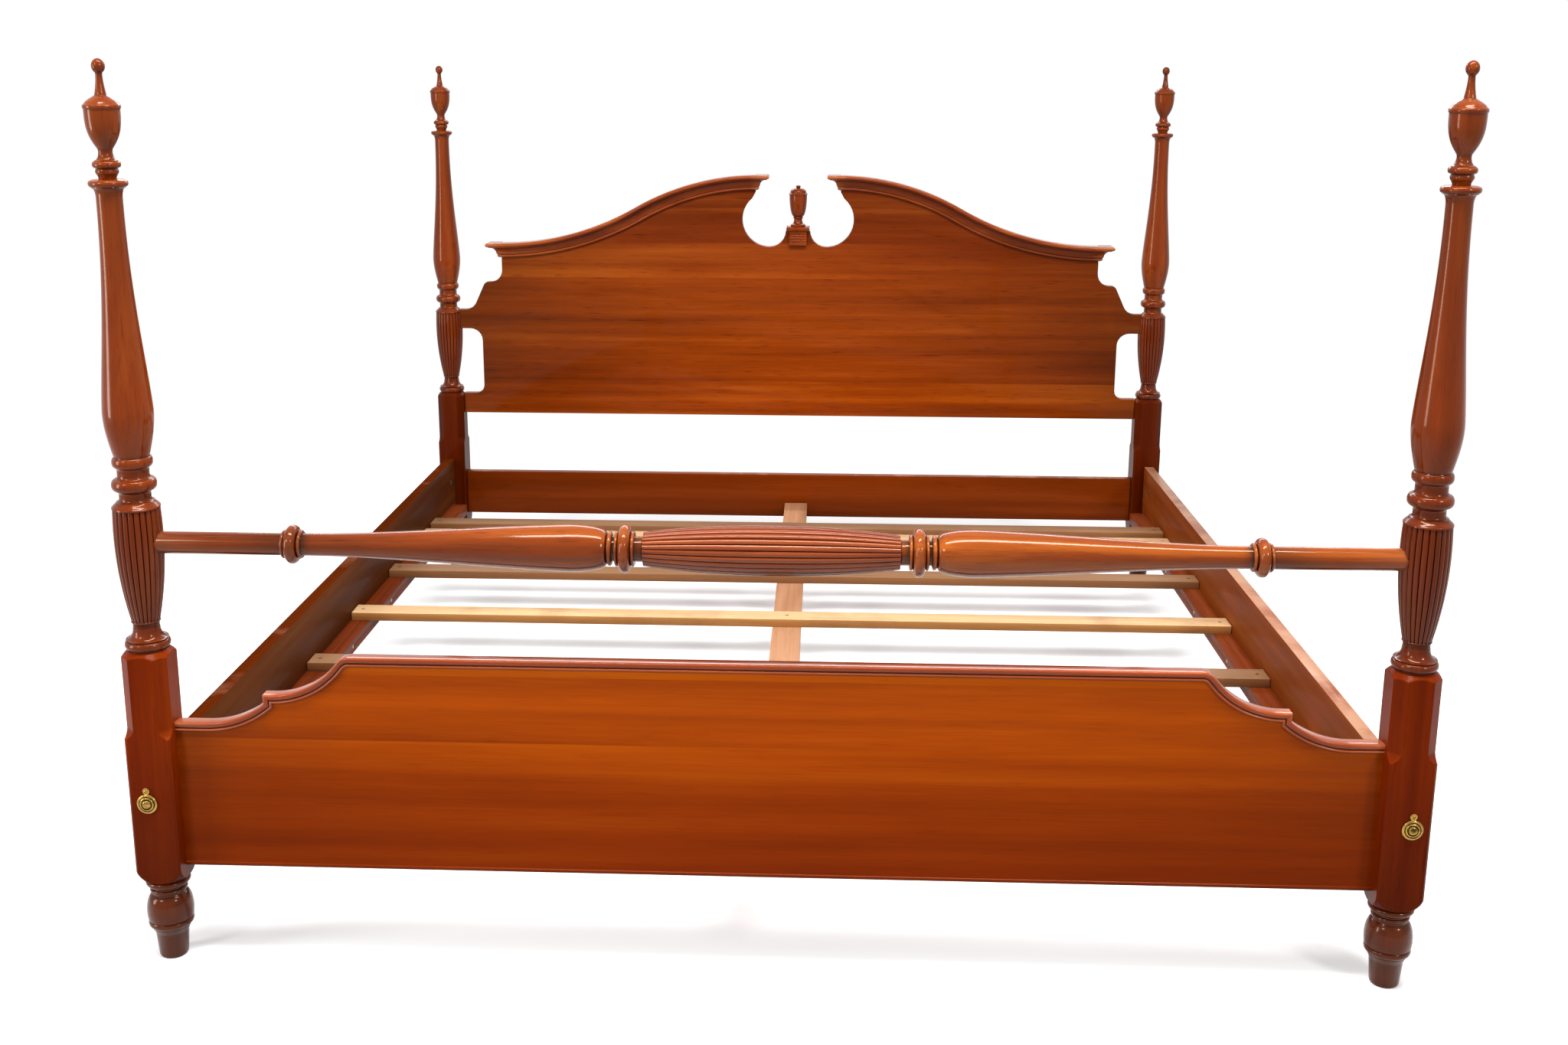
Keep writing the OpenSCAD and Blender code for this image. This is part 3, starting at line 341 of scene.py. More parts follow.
# painted shade on the square blocks, darker towards the floor; the head posts' blocks darker still, as if
# further from the light
footBlockShade = [(0.1, 0.32, 0.2, 0.14), (0.2, 0.48, 0.29, 0.2), (0.28, 0.66, 0.44, 0.3),
                  (0.35, 0.64, 0.43, 0.3)]
headBlockShade = [(0.1, 0.24, 0.18, 0.15), (0.34, 0.33, 0.25, 0.2)]
# painted shade under the blanket rail
barUndersideShade = [(0.43, 0.3, 0.22, 0.3), (0.445, 0.56, 0.46, 0.5), (0.462, 1, 1, 1)]
# painted light and shade on the footboard: darker towards its foot
footboardHeightShade = [(0.12, 0.34, 0.22, 0.3), (0.21, 0.52, 0.41, 0.5), (0.3, 0.92, 0.9, 0.9), (0.34, 1, 1, 1)]
# painted light and shade on the headboard by height, darker towards the top
headboardHeightShade = [(0.34, 0.84, 0.8, 0.5), (0.382, 0.7, 0.66, 0.6), (0.39, 0.74, 0.72, 0.8),
                  (0.5, 0.72, 0.76, 0.9), (0.58, 0.74, 0.76, 0.8), (0.6, 0.56, 0.52, 0.58),
                  (0.66, 0.48, 0.43, 0.57), (0.72, 0.39, 0.37, 0.57)]

# sideShade on the footboard, headboard, band and head rail paints shade towards their ends
footboardWood = makeWood("footboardWood", (130, 46, 1), (177, 74, 2), (210, 102, 8), gloss=0.3, coat=0.04,
                         boards=(0.112, 0.052, 0.08), rings=0.03, bands=0.36, patches=0.3, fibres=0.16,
                         flecks=0.1, heightShade=footboardHeightShade, sideShade=0.2, seed=1.7)
headboardWood = makeWood("headboardWood", (96, 30, 3), (150, 60, 8), (196, 96, 24), gloss=0.3, coat=0.06,
                         boards=(0.098, 0.478, 0.07), rings=0.05, bands=0.36, patches=0.36, fibres=0.16,
                         flecks=0.24, heightShade=headboardHeightShade, sideShade=0.6, seed=4.2)
# band and crown: painted highlight along the beads, grooves darkened partly by dirt and partly by painted
# shade
bandWood = makeWood("bandWood", (96, 30, 4), (146, 54, 10), (184, 84, 26), gloss=0.2, coat=0.3, rings=0.1,
                    recess=grooveDirtAndShade, wearAndHighlight=(196, 112, 74), sideShade=0.2, seed=2.9)
crownWood = makeWood("crownWood", (84, 28, 5), (128, 50, 10), (172, 86, 32), gloss=0.24, coat=0.24,
                     rings=0.1, recess=grooveDirtAndShade, wearAndHighlight=(198, 116, 68), seed=9.1)
turnedWood = makeWood("turnedWood", (80, 24, 3), (136, 54, 9), (180, 90, 26), grain="Z", gloss=0.24,
                      coat=0.22, bands=0.34, patches=0.3, recess=grooveDirtAndShade, heightShade=turnedHeightShade, seed=2.3)
blockStyle = {"grain": "Z", "gloss": 0.36, "bands": 0.4, "patches": 0.34, "recess": grooveDirtAndShade,
              "mirror": 0.05}
footBlockWood = makeWood("footBlockWood", (80, 24, 2), (136, 52, 5), (176, 84, 16),
                         heightShade=footBlockShade, seed=2.6, **blockStyle)
headBlockWood = makeWood("headBlockWood", (80, 24, 2), (134, 50, 5), (172, 80, 16),
                         heightShade=headBlockShade, seed=3.1, **blockStyle)
# blanket rail: painted highlight on the ridges and reed crests, painted shade on the underside
barWood = makeWood("barWood", (72, 22, 2), (122, 49, 6), (174, 90, 24), gloss=0.2, coat=0.3, rings=0.03,
                   bands=0.5, patches=0.5, heightShade=barUndersideShade, recess=(40, 12, 3), wearAndHighlight=(192, 120, 80),
                   seed=6.4)
barReedWood = makeWood("barReedWood", (60, 17, 3), (112, 40, 8), (158, 74, 24), gloss=0.18, coat=0.4,
                       rings=0.03, bands=0.4, patches=0.5, heightShade=barUndersideShade, recess=(34, 10, 3),
                       wearAndHighlight=(214, 146, 116), seed=6.6)
headRailWood = makeWood("headRailWood", (70, 22, 2), (104, 37, 3), (138, 56, 10), gloss=0.36, patches=0.3,
                        wear=(9.0, 0.55, 0.66, 0.4, (190, 140, 112)), sideShade=0.1, seed=3.3)
leftRailWood = makeWood("railWoodLeft", (58, 19, 2), (86, 32, 6), (116, 52, 16), grain="Y", gloss=0.6,
                        coat=0.0, wear=(7.0, 0.54, 0.68, 0.22, (176, 122, 92)), mirror=0.0, seed=5.5)
rightRailWood = makeWood("railWoodRight", (84, 32, 8), (126, 56, 18), (160, 80, 34), grain="Y", gloss=0.36,
                         coat=0.04, wear=(7.0, 0.34, 0.58, 0.7, (190, 144, 112)), seed=5.9)
# inner faces of the side rails: the left one a shaded copy and the right one a lit copy of the same wood,
# painted light
insideStyle = {"grain": "Y", "coat": 0.02, "bands": 0.34, "mirror": 0.04}
leftInsideShadedWood = makeWood("railInsideLeftShaded", (50, 21, 6), (78, 37, 12), (102, 56, 24), patches=0.4, seed=8.1,
                          **insideStyle)
rightInsideLitWood = makeWood("railInsideRightLit", (84, 32, 5), (126, 56, 14), (160, 86, 34), patches=0.34,
                           seed=8.8, **insideStyle)
cleatWood = makeWood("cleatWood", (70, 25, 6), (108, 43, 14), (144, 70, 34), grain="Y", patches=0.4,
                     mirror=0.05, seed=7.7)
supportWood = makeWood("supportWood", (132, 84, 54), (178, 128, 94), (208, 160, 126), grain="Y", gloss=0.6,
                       coat=0.0, rings=0.1, patches=0.24, seed=0.4)
legWood = makeWood("legWood", (150, 112, 76), (190, 148, 104), (214, 178, 134), grain="Z", gloss=0.62,
                   coat=0.0, rings=0.1, patches=0.2, seed=0.9)
slatWood = makeSlatWood("slatWood", slatLook)
coverBrass = makeMetal("coverBrass", (150, 118, 58), (44, 31, 12), 0.22, 120.0, (0.44, 0.54, -0.5, 0.2))
screwSteel = makeMetal("screwSteel", (168, 166, 160), (112, 108, 102), 0.4, 220.0)
print("finishes made")


# meshes

# angles past which an edge stays sharp, in degrees
crease = {"turned": 32, "shaped": 40, "eased": 35, "small": 30, "cover": 38}


def link(piece):
    bpy.context.collection.objects.link(piece)
    return piece


def smoothFaces(mesh, angle):
    mesh.polygons.foreach_set("use_smooth", [True] * len(mesh.polygons))
    mesh.set_sharp_from_angle(angle=radians(angle))


def pieceFrom(name, points, faces, material, angle):
    mesh = bpy.data.meshes.new(name)
    mesh.from_pydata([(x * mm, y * mm, z * mm) for x, y, z in points], [], faces)
    mesh.validate()
    smoothFaces(mesh, angle)
    mesh.materials.append(material)
    return link(bpy.data.objects.new(name, mesh))


# an object from a bmesh, which is freed
def solidFrom(name, shape, *materials):
    mesh = bpy.data.meshes.new(name)
    shape.to_mesh(mesh)
    shape.free()
    for material in materials:
        mesh.materials.append(material)
    return link(bpy.data.objects.new(name, mesh))


# points every face of a closed piece outwards
def turnOutwards(piece, angle):
    shape = bmesh.new()
    shape.from_mesh(piece.data)
    bmesh.ops.recalc_face_normals(shape, faces=shape.faces)
    shape.to_mesh(piece.data)
    shape.free()
    smoothFaces(piece.data, angle)


# skin over rings of points, closed at both ends
def ringFaces(rings, columns):
    faces = [(j * columns + i, j * columns + (i + 1) % columns, (j + 1) * columns + (i + 1) % columns,
              (j + 1) * columns + i) for j in range(rings - 1) for i in range(columns)]
    faces.append(tuple(reversed(range(columns))))
    faces.append(tuple(range((rings - 1) * columns, rings * columns)))
    return faces


def bakeModifiers(piece):
    graph = bpy.context.evaluated_depsgraph_get()
    mesh = bpy.data.meshes.new_from_object(piece.evaluated_get(graph), depsgraph=graph)
    piece.modifiers.clear()
    piece.data = mesh
    return piece


def cutAway(piece, shape, name, crossed=False):
    cutter = solidFrom(name, shape)
    modifier = piece.modifiers.new(name, "BOOLEAN")
    modifier.operation = "DIFFERENCE"
    modifier.object = cutter
    modifier.use_self = crossed
    bakeModifiers(piece)
    bpy.data.objects.remove(cutter)


# a second finish on the faces that a test picks
def finishPart(piece, material, isPicked):
    piece.data.materials.append(material)
    for face in piece.data.polygons:
        if isPicked(face):
            face.material_index = 1


def standIn(piece, slot, *nodes):
    body = frame["nodes"][nodes[0]]["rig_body"]
    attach(piece, body)
    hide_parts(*nodes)


def fourOf(kind):
    return [f"{end}_{kind}_{side}" for end in ("foot", "head") for side in ("left", "right")]


def middleOf(node):
    return [(a + b) / 2 for a, b in zip(*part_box(node))]


def shares(steps, first=0):
    return [i / steps for i in range(first, steps + 1)]


def turns(start, end, steps, first=0):
    return [radians(start + (end - start) * i / steps) for i in range(first, steps + 1)]


def arc(centre, radius, start, end, steps):
    return [(centre[0] + radius * cos(a), centre[1] + radius * sin(a)) for a in turns(start, end, steps)]


# turned profiles: lists of (share of the height, radius)

def swell(low, high, inner, outer, steps=12):
    return [((low + high) / 2 + (high - low) / 2 * sin(a), inner + (outer - inner) * cos(a))
            for a in turns(-90, 90, steps)]


def coveUp(low, start, high, end, steps=10):
    return [(low + (high - low) * sin(a), start + (end - start) * (1 - cos(a)))
            for a in turns(0, 90, steps)]


def coveDown(low, start, high, end, steps=10):
    return [(low + (high - low) * (1 - cos(a)), start + (end - start) * sin(a))
            for a in turns(0, 90, steps)]


def section(base, height, shape):
    return [(base + share * height, radius) for share, radius in shape]


def lathe(name, profile, material, columns=96, axis=(0.0, 0.0)):
    points = []
    for height, radius in profile:
        for i in range(columns):
            a = 2 * pi * i / columns
            points.append((axis[0] + radius * cos(a), axis[1] + radius * sin(a), height))
    return pieceFrom(name, points, ringFaces(len(profile), columns), material, crease["turned"])


# geometry node trees

def startTree(name, labels):
    tree = bpy.data.node_groups.new(name, "GeometryNodeTree")
    for label, kind in [("Geometry", "Geometry")] + labels:
        tree.interface.new_socket(label, in_out="INPUT", socket_type="NodeSocket" + kind)
    tree.interface.new_socket("Geometry", in_out="OUTPUT", socket_type="NodeSocketGeometry")
    return tree, addNode(tree, "NodeGroupInput").outputs[:len(labels) + 1]


def endTree(tree, shape, finish):
    real = valueOf("GeometryNodeRealizeInstances", {0: shape})
    coated = valueOf("GeometryNodeSetMaterial", {"Geometry": real, "Material": finish})
    nodeOn("NodeGroupOutput", {0: coated})
    return tree


def runTree(piece, tree, values):
    modifier = piece.modifiers.new(tree.name, "NODES")
    modifier.node_group = tree
    sockets = {item.name: item.identifier for item in tree.interface.items_tree
               if item.item_type == "SOCKET" and item.in_out == "INPUT"}
    for label, value in values.items():
        modifier[sockets[label]] = value
    return bakeModifiers(piece)


# presses round-backed reeds into a turned barrel between two heights, by a rule on the turning's angle
def reedingTree():
    tree, (turned, count, depth, widest, foot, top, wood) = startTree("reeding", [
        ("Reeds", "Float"), ("Depth", "Float"), ("Widest", "Float"), ("Foot", "Float"), ("Top", "Float"),
        ("Wood", "Material")])
    place = addNode(tree, "GeometryNodeInputPosition").outputs[0]
    x, y, z = (axisOf(place, i) for i in range(3))
    flat = valueOf("ShaderNodeCombineXYZ", {0: x, 1: y})
    radius = valueOf("ShaderNodeVectorMath", {0: flat}, "Value", operation="LENGTH")
    outward = valueOf("ShaderNodeVectorMath", {0: flat}, operation="NORMALIZE")
    turn = sums("DIVIDE", sums("ARCTAN2", y, x), 2 * pi)
    # the small addition keeps points on a valley out of the next reed
    share = sums("FRACT", sums("MULTIPLY_ADD", turn, count, 0.0001))
    side = sums("MULTIPLY_ADD", share, 2.0, -1.0)
    back = sums("SQRT", sums("SUBTRACT", 1.0, product(side, side)))
    dip = product(sums("SUBTRACT", 1.0, back), depth, sums("DIVIDE", radius, widest))
    inside = product(sums("GREATER_THAN", z, foot), sums("LESS_THAN", z, top))
    move = {0: outward, "Scale": product(dip, inside, -1.0)}
    move = valueOf("ShaderNodeVectorMath", move, operation="SCALE")
    moved = valueOf("GeometryNodeSetPosition", {"Geometry": turned, "Offset": move})
    return endTree(tree, moved, wood)


reeding = reedingTree()
reeds = {"count": 24, "columns": 8, "depth": 2.9, "margin": 0.05}  # columns of points in one reed


def pressReeds(piece, widest, low, high, wood):
    return runTree(piece, reeding, {
        "Reeds": float(reeds["count"]), "Depth": reeds["depth"] * mm, "Widest": widest * mm,
        "Foot": (low + reeds["margin"]) * mm, "Top": (high - reeds["margin"]) * mm, "Wood": wood})


# posts

post = {
    # heights of the sections, from the floor up
    "foot": 142.0, "block": 386.0, "shoulder": 9.0, "baseRing": 47.0, "reeded": 184.0, "rings": 86.0,
    "vase": 393.0, "collar": 27.0, "finial": 175.7,
    # radii
    "floorRadius": 23.4, "taper": 26.2, "bulb": 37.1, "bead": 35.0, "neck": 20.3, "reedFoot": 21.8,
    "barrel": 37.0, "barrelDrop": 1.5, "seat": 1.0, "lowSeat": 0.6, "waist": 24.0, "vaseRadius": 37.6,
    "vaseFoot": 27.5, "vaseTop": 19.0, "collarRadius": 28.6,
    # shares of the section's height at which the barrel and the vase are widest
    "barrelFull": 0.75, "vaseFull": 0.17,
    # square block
    "halfBlock": 37.0, "softCorner": 3.5, "chamfer": 17.0, "stopLow": 394.0, "stopHigh": 411.0,
    "levels": (230.0, 290.0, 350.0), "upperLevels": (440.0, 480.0), "overCorner": 2.0,
    "pommel": 51.0, "coneLow": 12.0, "coneTop": 6.0,
    "boltHeight": 285.0, "boltOut": 7.0, "boltHole": 11.0, "boltHoleDepth": 9.0,
    # rows of points
    "footSteps": 24, "pommelSteps": 30, "stopSteps": 16, "coneSteps": 28, "barrelSteps": 40,
    "vaseSteps": 70,
}
blockBase = post["foot"]
shoulderBase = blockBase + post["block"]
ringBase = shoulderBase + post["shoulder"]
reedBase = ringBase + post["baseRing"]
stackBase = reedBase + post["reeded"]
vaseBase = stackBase + post["rings"]
collarBase = vaseBase + post["vase"]


def footShape():
    floor, taper, bead, bulb = post["floorRadius"], post["taper"], post["bead"], post["bulb"]
    shape = [(0, floor - 3), (0.008, floor - 1.6), (0.02, floor - 0.7), (0.045, floor), (0.3, taper)]
    shape += [(0.328, taper + 1.3), (0.355, taper + 3.2), (0.395, bead - 3)]
    shape += swell(0.4, 0.48, bead - 3, bead + 1) + [(0.486, bead - 2)]
    shape += [(0.58 + 0.22 * sin(a), floor + 2 + (bulb - floor - 2) * cos(a))
              for a in turns(-25, 78, post["footSteps"])]
    shape += [(0.802, floor + 3.5), (0.82, floor + 3.5)] + swell(0.825, 0.875, floor + 3.6, floor + 6.4)
    shape += coveUp(0.88, floor + 4, 0.91, bead - 4.5, 8)
    return shape + swell(0.915, 0.99, bead - 4.5, bead + 0.6) + [(1.0, bead - 5)]


def baseRingShape():
    bead, neck, disc = post["bead"], post["neck"], post["reedFoot"] + post["lowSeat"]
    shape = [(0.0, bead - 5), (0.03, bead - 5)] + swell(0.04, 0.32, bead - 4, bead)
    shape += [(0.34, bead - 4), (0.37, bead - 2.5)] + coveDown(0.37, bead - 2.5, 0.74, neck + 0.6, 16)
    shape += [(0.8, neck), (0.945, neck), (0.95, disc - 0.3)]
    return shape + [(0.958, disc), (0.985, disc), (0.996, disc - 0.3)]


def barrelShape():
    full = post["barrelFull"]
    shape = []
    for share in shares(post["barrelSteps"]):
        if share < full:
            radius = post["barrel"] - (post["barrel"] - post["reedFoot"]) * (1 - share / full) ** 2
        else:
            radius = post["barrel"] - post["barrelDrop"] * ((share - full) / (1 - full)) ** 2
        shape.append((share, radius))
    return shape


def ringStackShape():
    cap, waist, foot = post["barrel"] - post["barrelDrop"], post["waist"], post["vaseFoot"]
    shape = [(0.0, cap + post["seat"]), (0.028, cap + post["seat"]), (0.034, cap + 0.7), (0.04, cap),
             (0.055, cap - 1), (0.07, cap - 2.2), (0.085, cap - 3.7), (0.1, cap - 5.2), (0.115, cap - 6.2)]
    shape += coveDown(0.13, cap - 7, 0.19, waist) + coveUp(0.26, waist, 0.33, waist + 4.5)
    shape += swell(0.335, 0.545, waist + 4.5, post["bead"] - 1.2, 18)
    shape += coveDown(0.55, waist + 4.5, 0.62, waist) + coveUp(0.7, waist, 0.765, foot - 0.5)
    return shape + swell(0.77, 0.95, foot - 0.5, foot + 2.9, 16) + [(0.965, foot - 1)]


def vaseShape():
    full = post["vaseFull"]
    shape = []
    for share in shares(post["vaseSteps"]):
        if share < full:
            radius = post["vaseFoot"] + (post["vaseRadius"] - post["vaseFoot"]) * sin(pi / 2 * share / full)
        else:
            t = (share - full) / (1 - full)
            radius = post["vaseTop"] + (post["vaseRadius"] - post["vaseTop"]) * (1 - t ** 1.3) ** 2.3
        shape.append((share, radius))
    return shape


def collarShape():
    top, collar = post["vaseTop"], post["collarRadius"]
    shape = coveUp(0.0, top, 0.54, collar - 4.6, 14) + [(0.57, collar - 3.4)]
    return shape + swell(0.6, 0.96, collar - 3.6, collar, 14) + [(1.0, collar - 6)]


# how far the square block reaches at an angle, when its corners are cut by this much
def blockReach(a, cut):
    c, s = abs(cos(a)), abs(sin(a))
    return min(post["halfBlock"] / max(c, s), (2 * post["halfBlock"] - cut) / (c + s))


# rows of the block: turned pommel, square with its corner stops, turned shoulder
def blockRings():
    wide = post["halfBlock"] * sqrt(2) + post["overCorner"]
    start = post["bead"] - 3
    rings = [(blockBase + post["pommel"] * (1 - cos(a)), start + (wide - start) * sin(a))
             for a in turns(0, 90, post["pommelSteps"])]
    stops = [post["stopLow"] + (post["stopHigh"] - post["stopLow"]) * t for t in shares(post["stopSteps"])]
    rings += [(z, wide) for z in (*post["levels"], *stops, *post["upperLevels"])]
    low, rise = shoulderBase - post["coneLow"], post["coneLow"] + post["shoulder"]
    fall = wide - post["halfBlock"] + post["coneTop"]
    return rings + [(low + rise * t, wide - fall * t) for t in shares(post["coneSteps"])[:-1] + [0.998]]


def cutAt(height):
    t = min(max((height - post["stopLow"]) / (post["stopHigh"] - post["stopLow"]), 0.0), 1.0)
    return post["softCorner"] + (post["chamfer"] - post["softCorner"]) * sin(pi / 2 * t) ** 0.8


def postColumns():
    count = reeds["count"] * reeds["columns"]
    angles = {round(2 * pi * i / count, 6) for i in range(count)}
    for cut in (post["softCorner"], post["chamfer"]):
        edge = atan((post["halfBlock"] - cut) / post["halfBlock"])
        for k in range(4):
            angles |= {round(k * pi / 2 + edge, 6), round((k + 1) * pi / 2 - edge, 6)}
    return sorted(angles)


def makePost(node):
    x, y, _ = middleOf(node)
    columns = postColumns()
    rows, block = section(0, post["foot"], footShape()), blockRings()
    blockRows = range(len(rows), len(rows) + len(block))
    rows += block
    rows += section(ringBase, post["baseRing"], baseRingShape())
    barrel = section(reedBase, post["reeded"], barrelShape())
    # the barrel's end rows stand a little inside their neighbours
    barrel[0] = (barrel[0][0] + 2 * reeds["margin"], barrel[0][1])
    barrel[-1] = (barrel[-1][0] - 2 * reeds["margin"], barrel[-1][1])
    rows += barrel
    rows += section(stackBase, post["rings"], ringStackShape())
    rows += section(vaseBase, post["vase"], vaseShape())
    rows += section(collarBase, post["collar"], collarShape())
    points = []
    for row, (z, radius) in enumerate(rows):
        cut = cutAt(z)
        for a in columns:
            reach = min(radius, blockReach(a, cut)) if row in blockRows else radius
            points.append((reach * cos(a), reach * sin(a), z))
    faces = ringFaces(len(rows), len(columns))
    piece = pieceFrom(node + "Turned", points, faces, turnedWood, crease["turned"])
    piece = pressReeds(piece, post["barrel"], reedBase, stackBase, turnedWood)
    piece.data.transform(Matrix.Translation((x, y, 0)))
    cutBoltHole(piece, x, y)
    smoothFaces(piece.data, crease["turned"])
    finishPart(piece, footBlockWood if y < 0 else headBlockWood,
               lambda face: blockBase < face.center.z / mm < ringBase)
    standIn(piece, "dark_turned_wood", node)


def cutBoltHole(piece, x, y):
    centre = Vector((x + copysign(post["boltOut"] * mm, x), y + copysign(post["halfBlock"] * mm, y),
                     post["boltHeight"] * mm))
    shape = bmesh.new()
    bmesh.ops.create_cone(shape, cap_ends=True, segments=48, radius1=post["boltHole"] * mm,
                          radius2=post["boltHole"] * mm, depth=2 * post["boltHoleDepth"] * mm,
                          matrix=Matrix.Translation(centre) @ Matrix.Rotation(pi / 2, 4, "X"))
    cutAway(piece, shape, "boltHole")


for node in fourOf("post"):
    makePost(node)
print("posts turned")


# finials

finial = {"rim": 27.2, "ball": 9.7, "dowel": 6.0, "dowelLength": 32.0, "bowlSteps": 24,
          "spireSteps": 16, "ballSteps": 20}


def finialShape():
    rim, ball = finial["rim"], finial["ball"]
    shape = [(0, 12.8), (0.02, 13.3), (0.035, 14.6), (0.05, 16.2), (0.062, 16.9), (0.075, 16.7),
             (0.086, 15.8), (0.091, 16.2)]
    shape += swell(0.095, 0.152, 17, 20.6) + coveDown(0.157, 17.2, 0.232, 10.2)
    shape += [(0.25 + 0.33 * t, 10.6 + (rim - 11.9) * (1 - (1 - t) ** 3) ** 1.1)
              for t in shares(finial["bowlSteps"])]
    shape += [(0.585, rim - 1), (0.59, rim - 0.3), (0.595, rim), (0.612, rim), (0.618, rim - 0.5),
              (0.624, rim - 1.8), (0.632, rim - 3.2)]
    shape += [(0.633 + 0.062 * t, 9.2 + (rim - 12.6) * (1 - t ** 1.4))
              for t in (0.12, 0.3, 0.5, 0.7, 0.86, 1.0)]
    shape += [(0.7 + 0.175 * t, 4.9 + 3.7 * (1 - t) ** 1.8) for t in shares(finial["spireSteps"])]
    return shape + [(0.936 + 0.064 * sin(a), max(ball * cos(a), 0.3))
                    for a in turns(-62, 88, finial["ballSteps"], 1)]


def makeFinial(node):
    x, y, _ = middleOf(node)
    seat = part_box(node)[1].z / mm - post["finial"]
    tip, peg = seat - finial["dowelLength"], finial["dowel"]
    profile = [(tip, peg - 1), (tip + 1, peg), (seat, peg)] + section(seat, post["finial"], finialShape())
    standIn(lathe(node + "Turned", profile, turnedWood, axis=(x / mm, y / mm)), "dark_turned_wood", node)


for node in fourOf("finial"):
    makeFinial(node)
print("finials turned")


# blanket rail, turned about Z and then laid along X

bar = {
    "end": 17.5, "ring": 748.0, "ringRadius": 30.5, "swellPlace": 315.0, "swellRadius": 37.0,
    "disc": 227.0, "discRadius": 37.8, "neck": 20.0, "reedHalf": 198.0, "reedRadius": 39.0,
    "reedEndRadius": 26.6, "swellSteps": 24, "taperSteps": 50, "reedSteps": 30,
}


# one half from the reeded middle to its end
def barShape(endPlace):
    neck, end, disc, wide = bar["neck"], bar["end"], bar["disc"], bar["swellRadius"]
    outer, inner, full = bar["ring"] - 16, disc + 20, bar["swellPlace"]
    shape = [(bar["reedHalf"] + 0.1, neck - 1), (bar["reedHalf"] + 2, neck), (disc - 16, neck)]
    shape += swell(disc - 15, disc - 10, neck + 5, neck + 8, 8)
    shape += swell(disc - 9, disc + 9, neck + 7, bar["discRadius"], 20)
    shape += swell(disc + 10, disc + 15, neck + 5, neck + 8, 8) + [(disc + 16, neck), (inner - 1, neck)]
    shape += swell(inner, inner + 7, neck + 3, neck + 7, 8)
    shape += [(inner + 9 + (full - inner - 9) * (1 - cos(a)), neck + 5 + (wide - neck - 5) * sin(a))
              for a in turns(0, 90, bar["swellSteps"])]
    shape += [(full + (outer - full) * t, end + (wide - end) * (1 - t) ** 2 * (1 + 1.3 * t))
              for t in shares(bar["taperSteps"], 1)]
    shape += swell(outer, outer + 6, end + 1, end + 5, 8)
    shape += swell(outer + 7, outer + 25, end + 4, bar["ringRadius"], 16)
    return shape + swell(outer + 26, outer + 32, end + 1, end + 5, 8) + [(outer + 33, end), (endPlace, end)]


def makeBlanketRail(node):
    low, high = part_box(node)
    _, y, z = middleOf(node)
    half = bar["reedHalf"]
    outer = barShape((high.x - low.x) / 2 / mm)
    middle = [(half * sin(a), bar["reedEndRadius"]
               + (bar["reedRadius"] - bar["reedEndRadius"]) * (1 - abs(sin(a)) ** 2.2))
              for a in turns(-90, 90, 2 * bar["reedSteps"])]
    profile = [(-place, radius) for place, radius in reversed(outer)] + middle + outer
    piece = lathe("blanketRailTurned", profile, barWood, reeds["count"] * reeds["columns"])
    reach = half + 2 * reeds["margin"]
    piece = pressReeds(piece, bar["reedRadius"], -reach, reach, barWood)
    piece.data.transform(Matrix.Translation((0, y, z)) @ Matrix.Rotation(pi / 2, 4, "Y"))
    smoothFaces(piece.data, crease["turned"])
    finishPart(piece, barReedWood, lambda face: abs(face.center.x) < half * mm)
    standIn(piece, "cherry", node)


makeBlanketRail("blanket_rail")
print("blanket rail turned")


# crown mouldings: one section carried along the swan-neck line, with mitred returns

crown = {
    "endX": 834.0, "bendX": 450.3, "apexX": 110.0, "mouthX": 118.0, "lowZ": 967.0, "rise": 191.0,
    "height": 42.0, "projection": 38.0, "bead": 5.5, "steps": 40, "coveSteps": 12,
}


# points as (how far it stands out, height below the top)
def crownSection():
    out, tall, bead = crown["projection"], crown["height"], crown["bead"]
    shape = [(0, 0), (out - 6, 0)] + arc((out - bead, -bead), bead, 90, -90, 12)
    shape += [(out - 7.0, -11.4), (out - 7.0, -12.6)]
    shape += [(out - 8 - (out - 20) * sin(a), -13 - (tall - 26) * (1 - cos(a)))
              for a in turns(0, 90, crown["coveSteps"], 1)]
    shape += [(10.5, -tall + 11.5), (10.5, -tall + 9.5)] + arc((5.5, -tall + 5.5), 4.0, 50, -50, 6)
    return shape + [(5, -tall + 0.8), (4, -tall), (0, -tall)]


# two arcs that meet on a slope, level at both ends, as (x, z, slope)
def crownLine():
    slope = 2 * atan(crown["rise"] / (crown["endX"] - crown["apexX"]))
    lower = (crown["endX"] - crown["bendX"]) / sin(slope)
    upper = (crown["bendX"] - crown["apexX"]) / sin(slope)
    last = asin((crown["mouthX"] - crown["apexX"]) / upper)
    top = crown["lowZ"] + crown["rise"]
    line = [(crown["endX"] - lower * sin(a), crown["lowZ"] + lower * (1 - cos(a)), a)
            for a in [slope * t for t in shares(crown["steps"])]]
    return line + [(crown["apexX"] + upper * sin(a), top - upper * (1 - cos(a)), a)
                   for a in [slope + (last - slope) * t for t in shares(crown["steps"], 1)]]


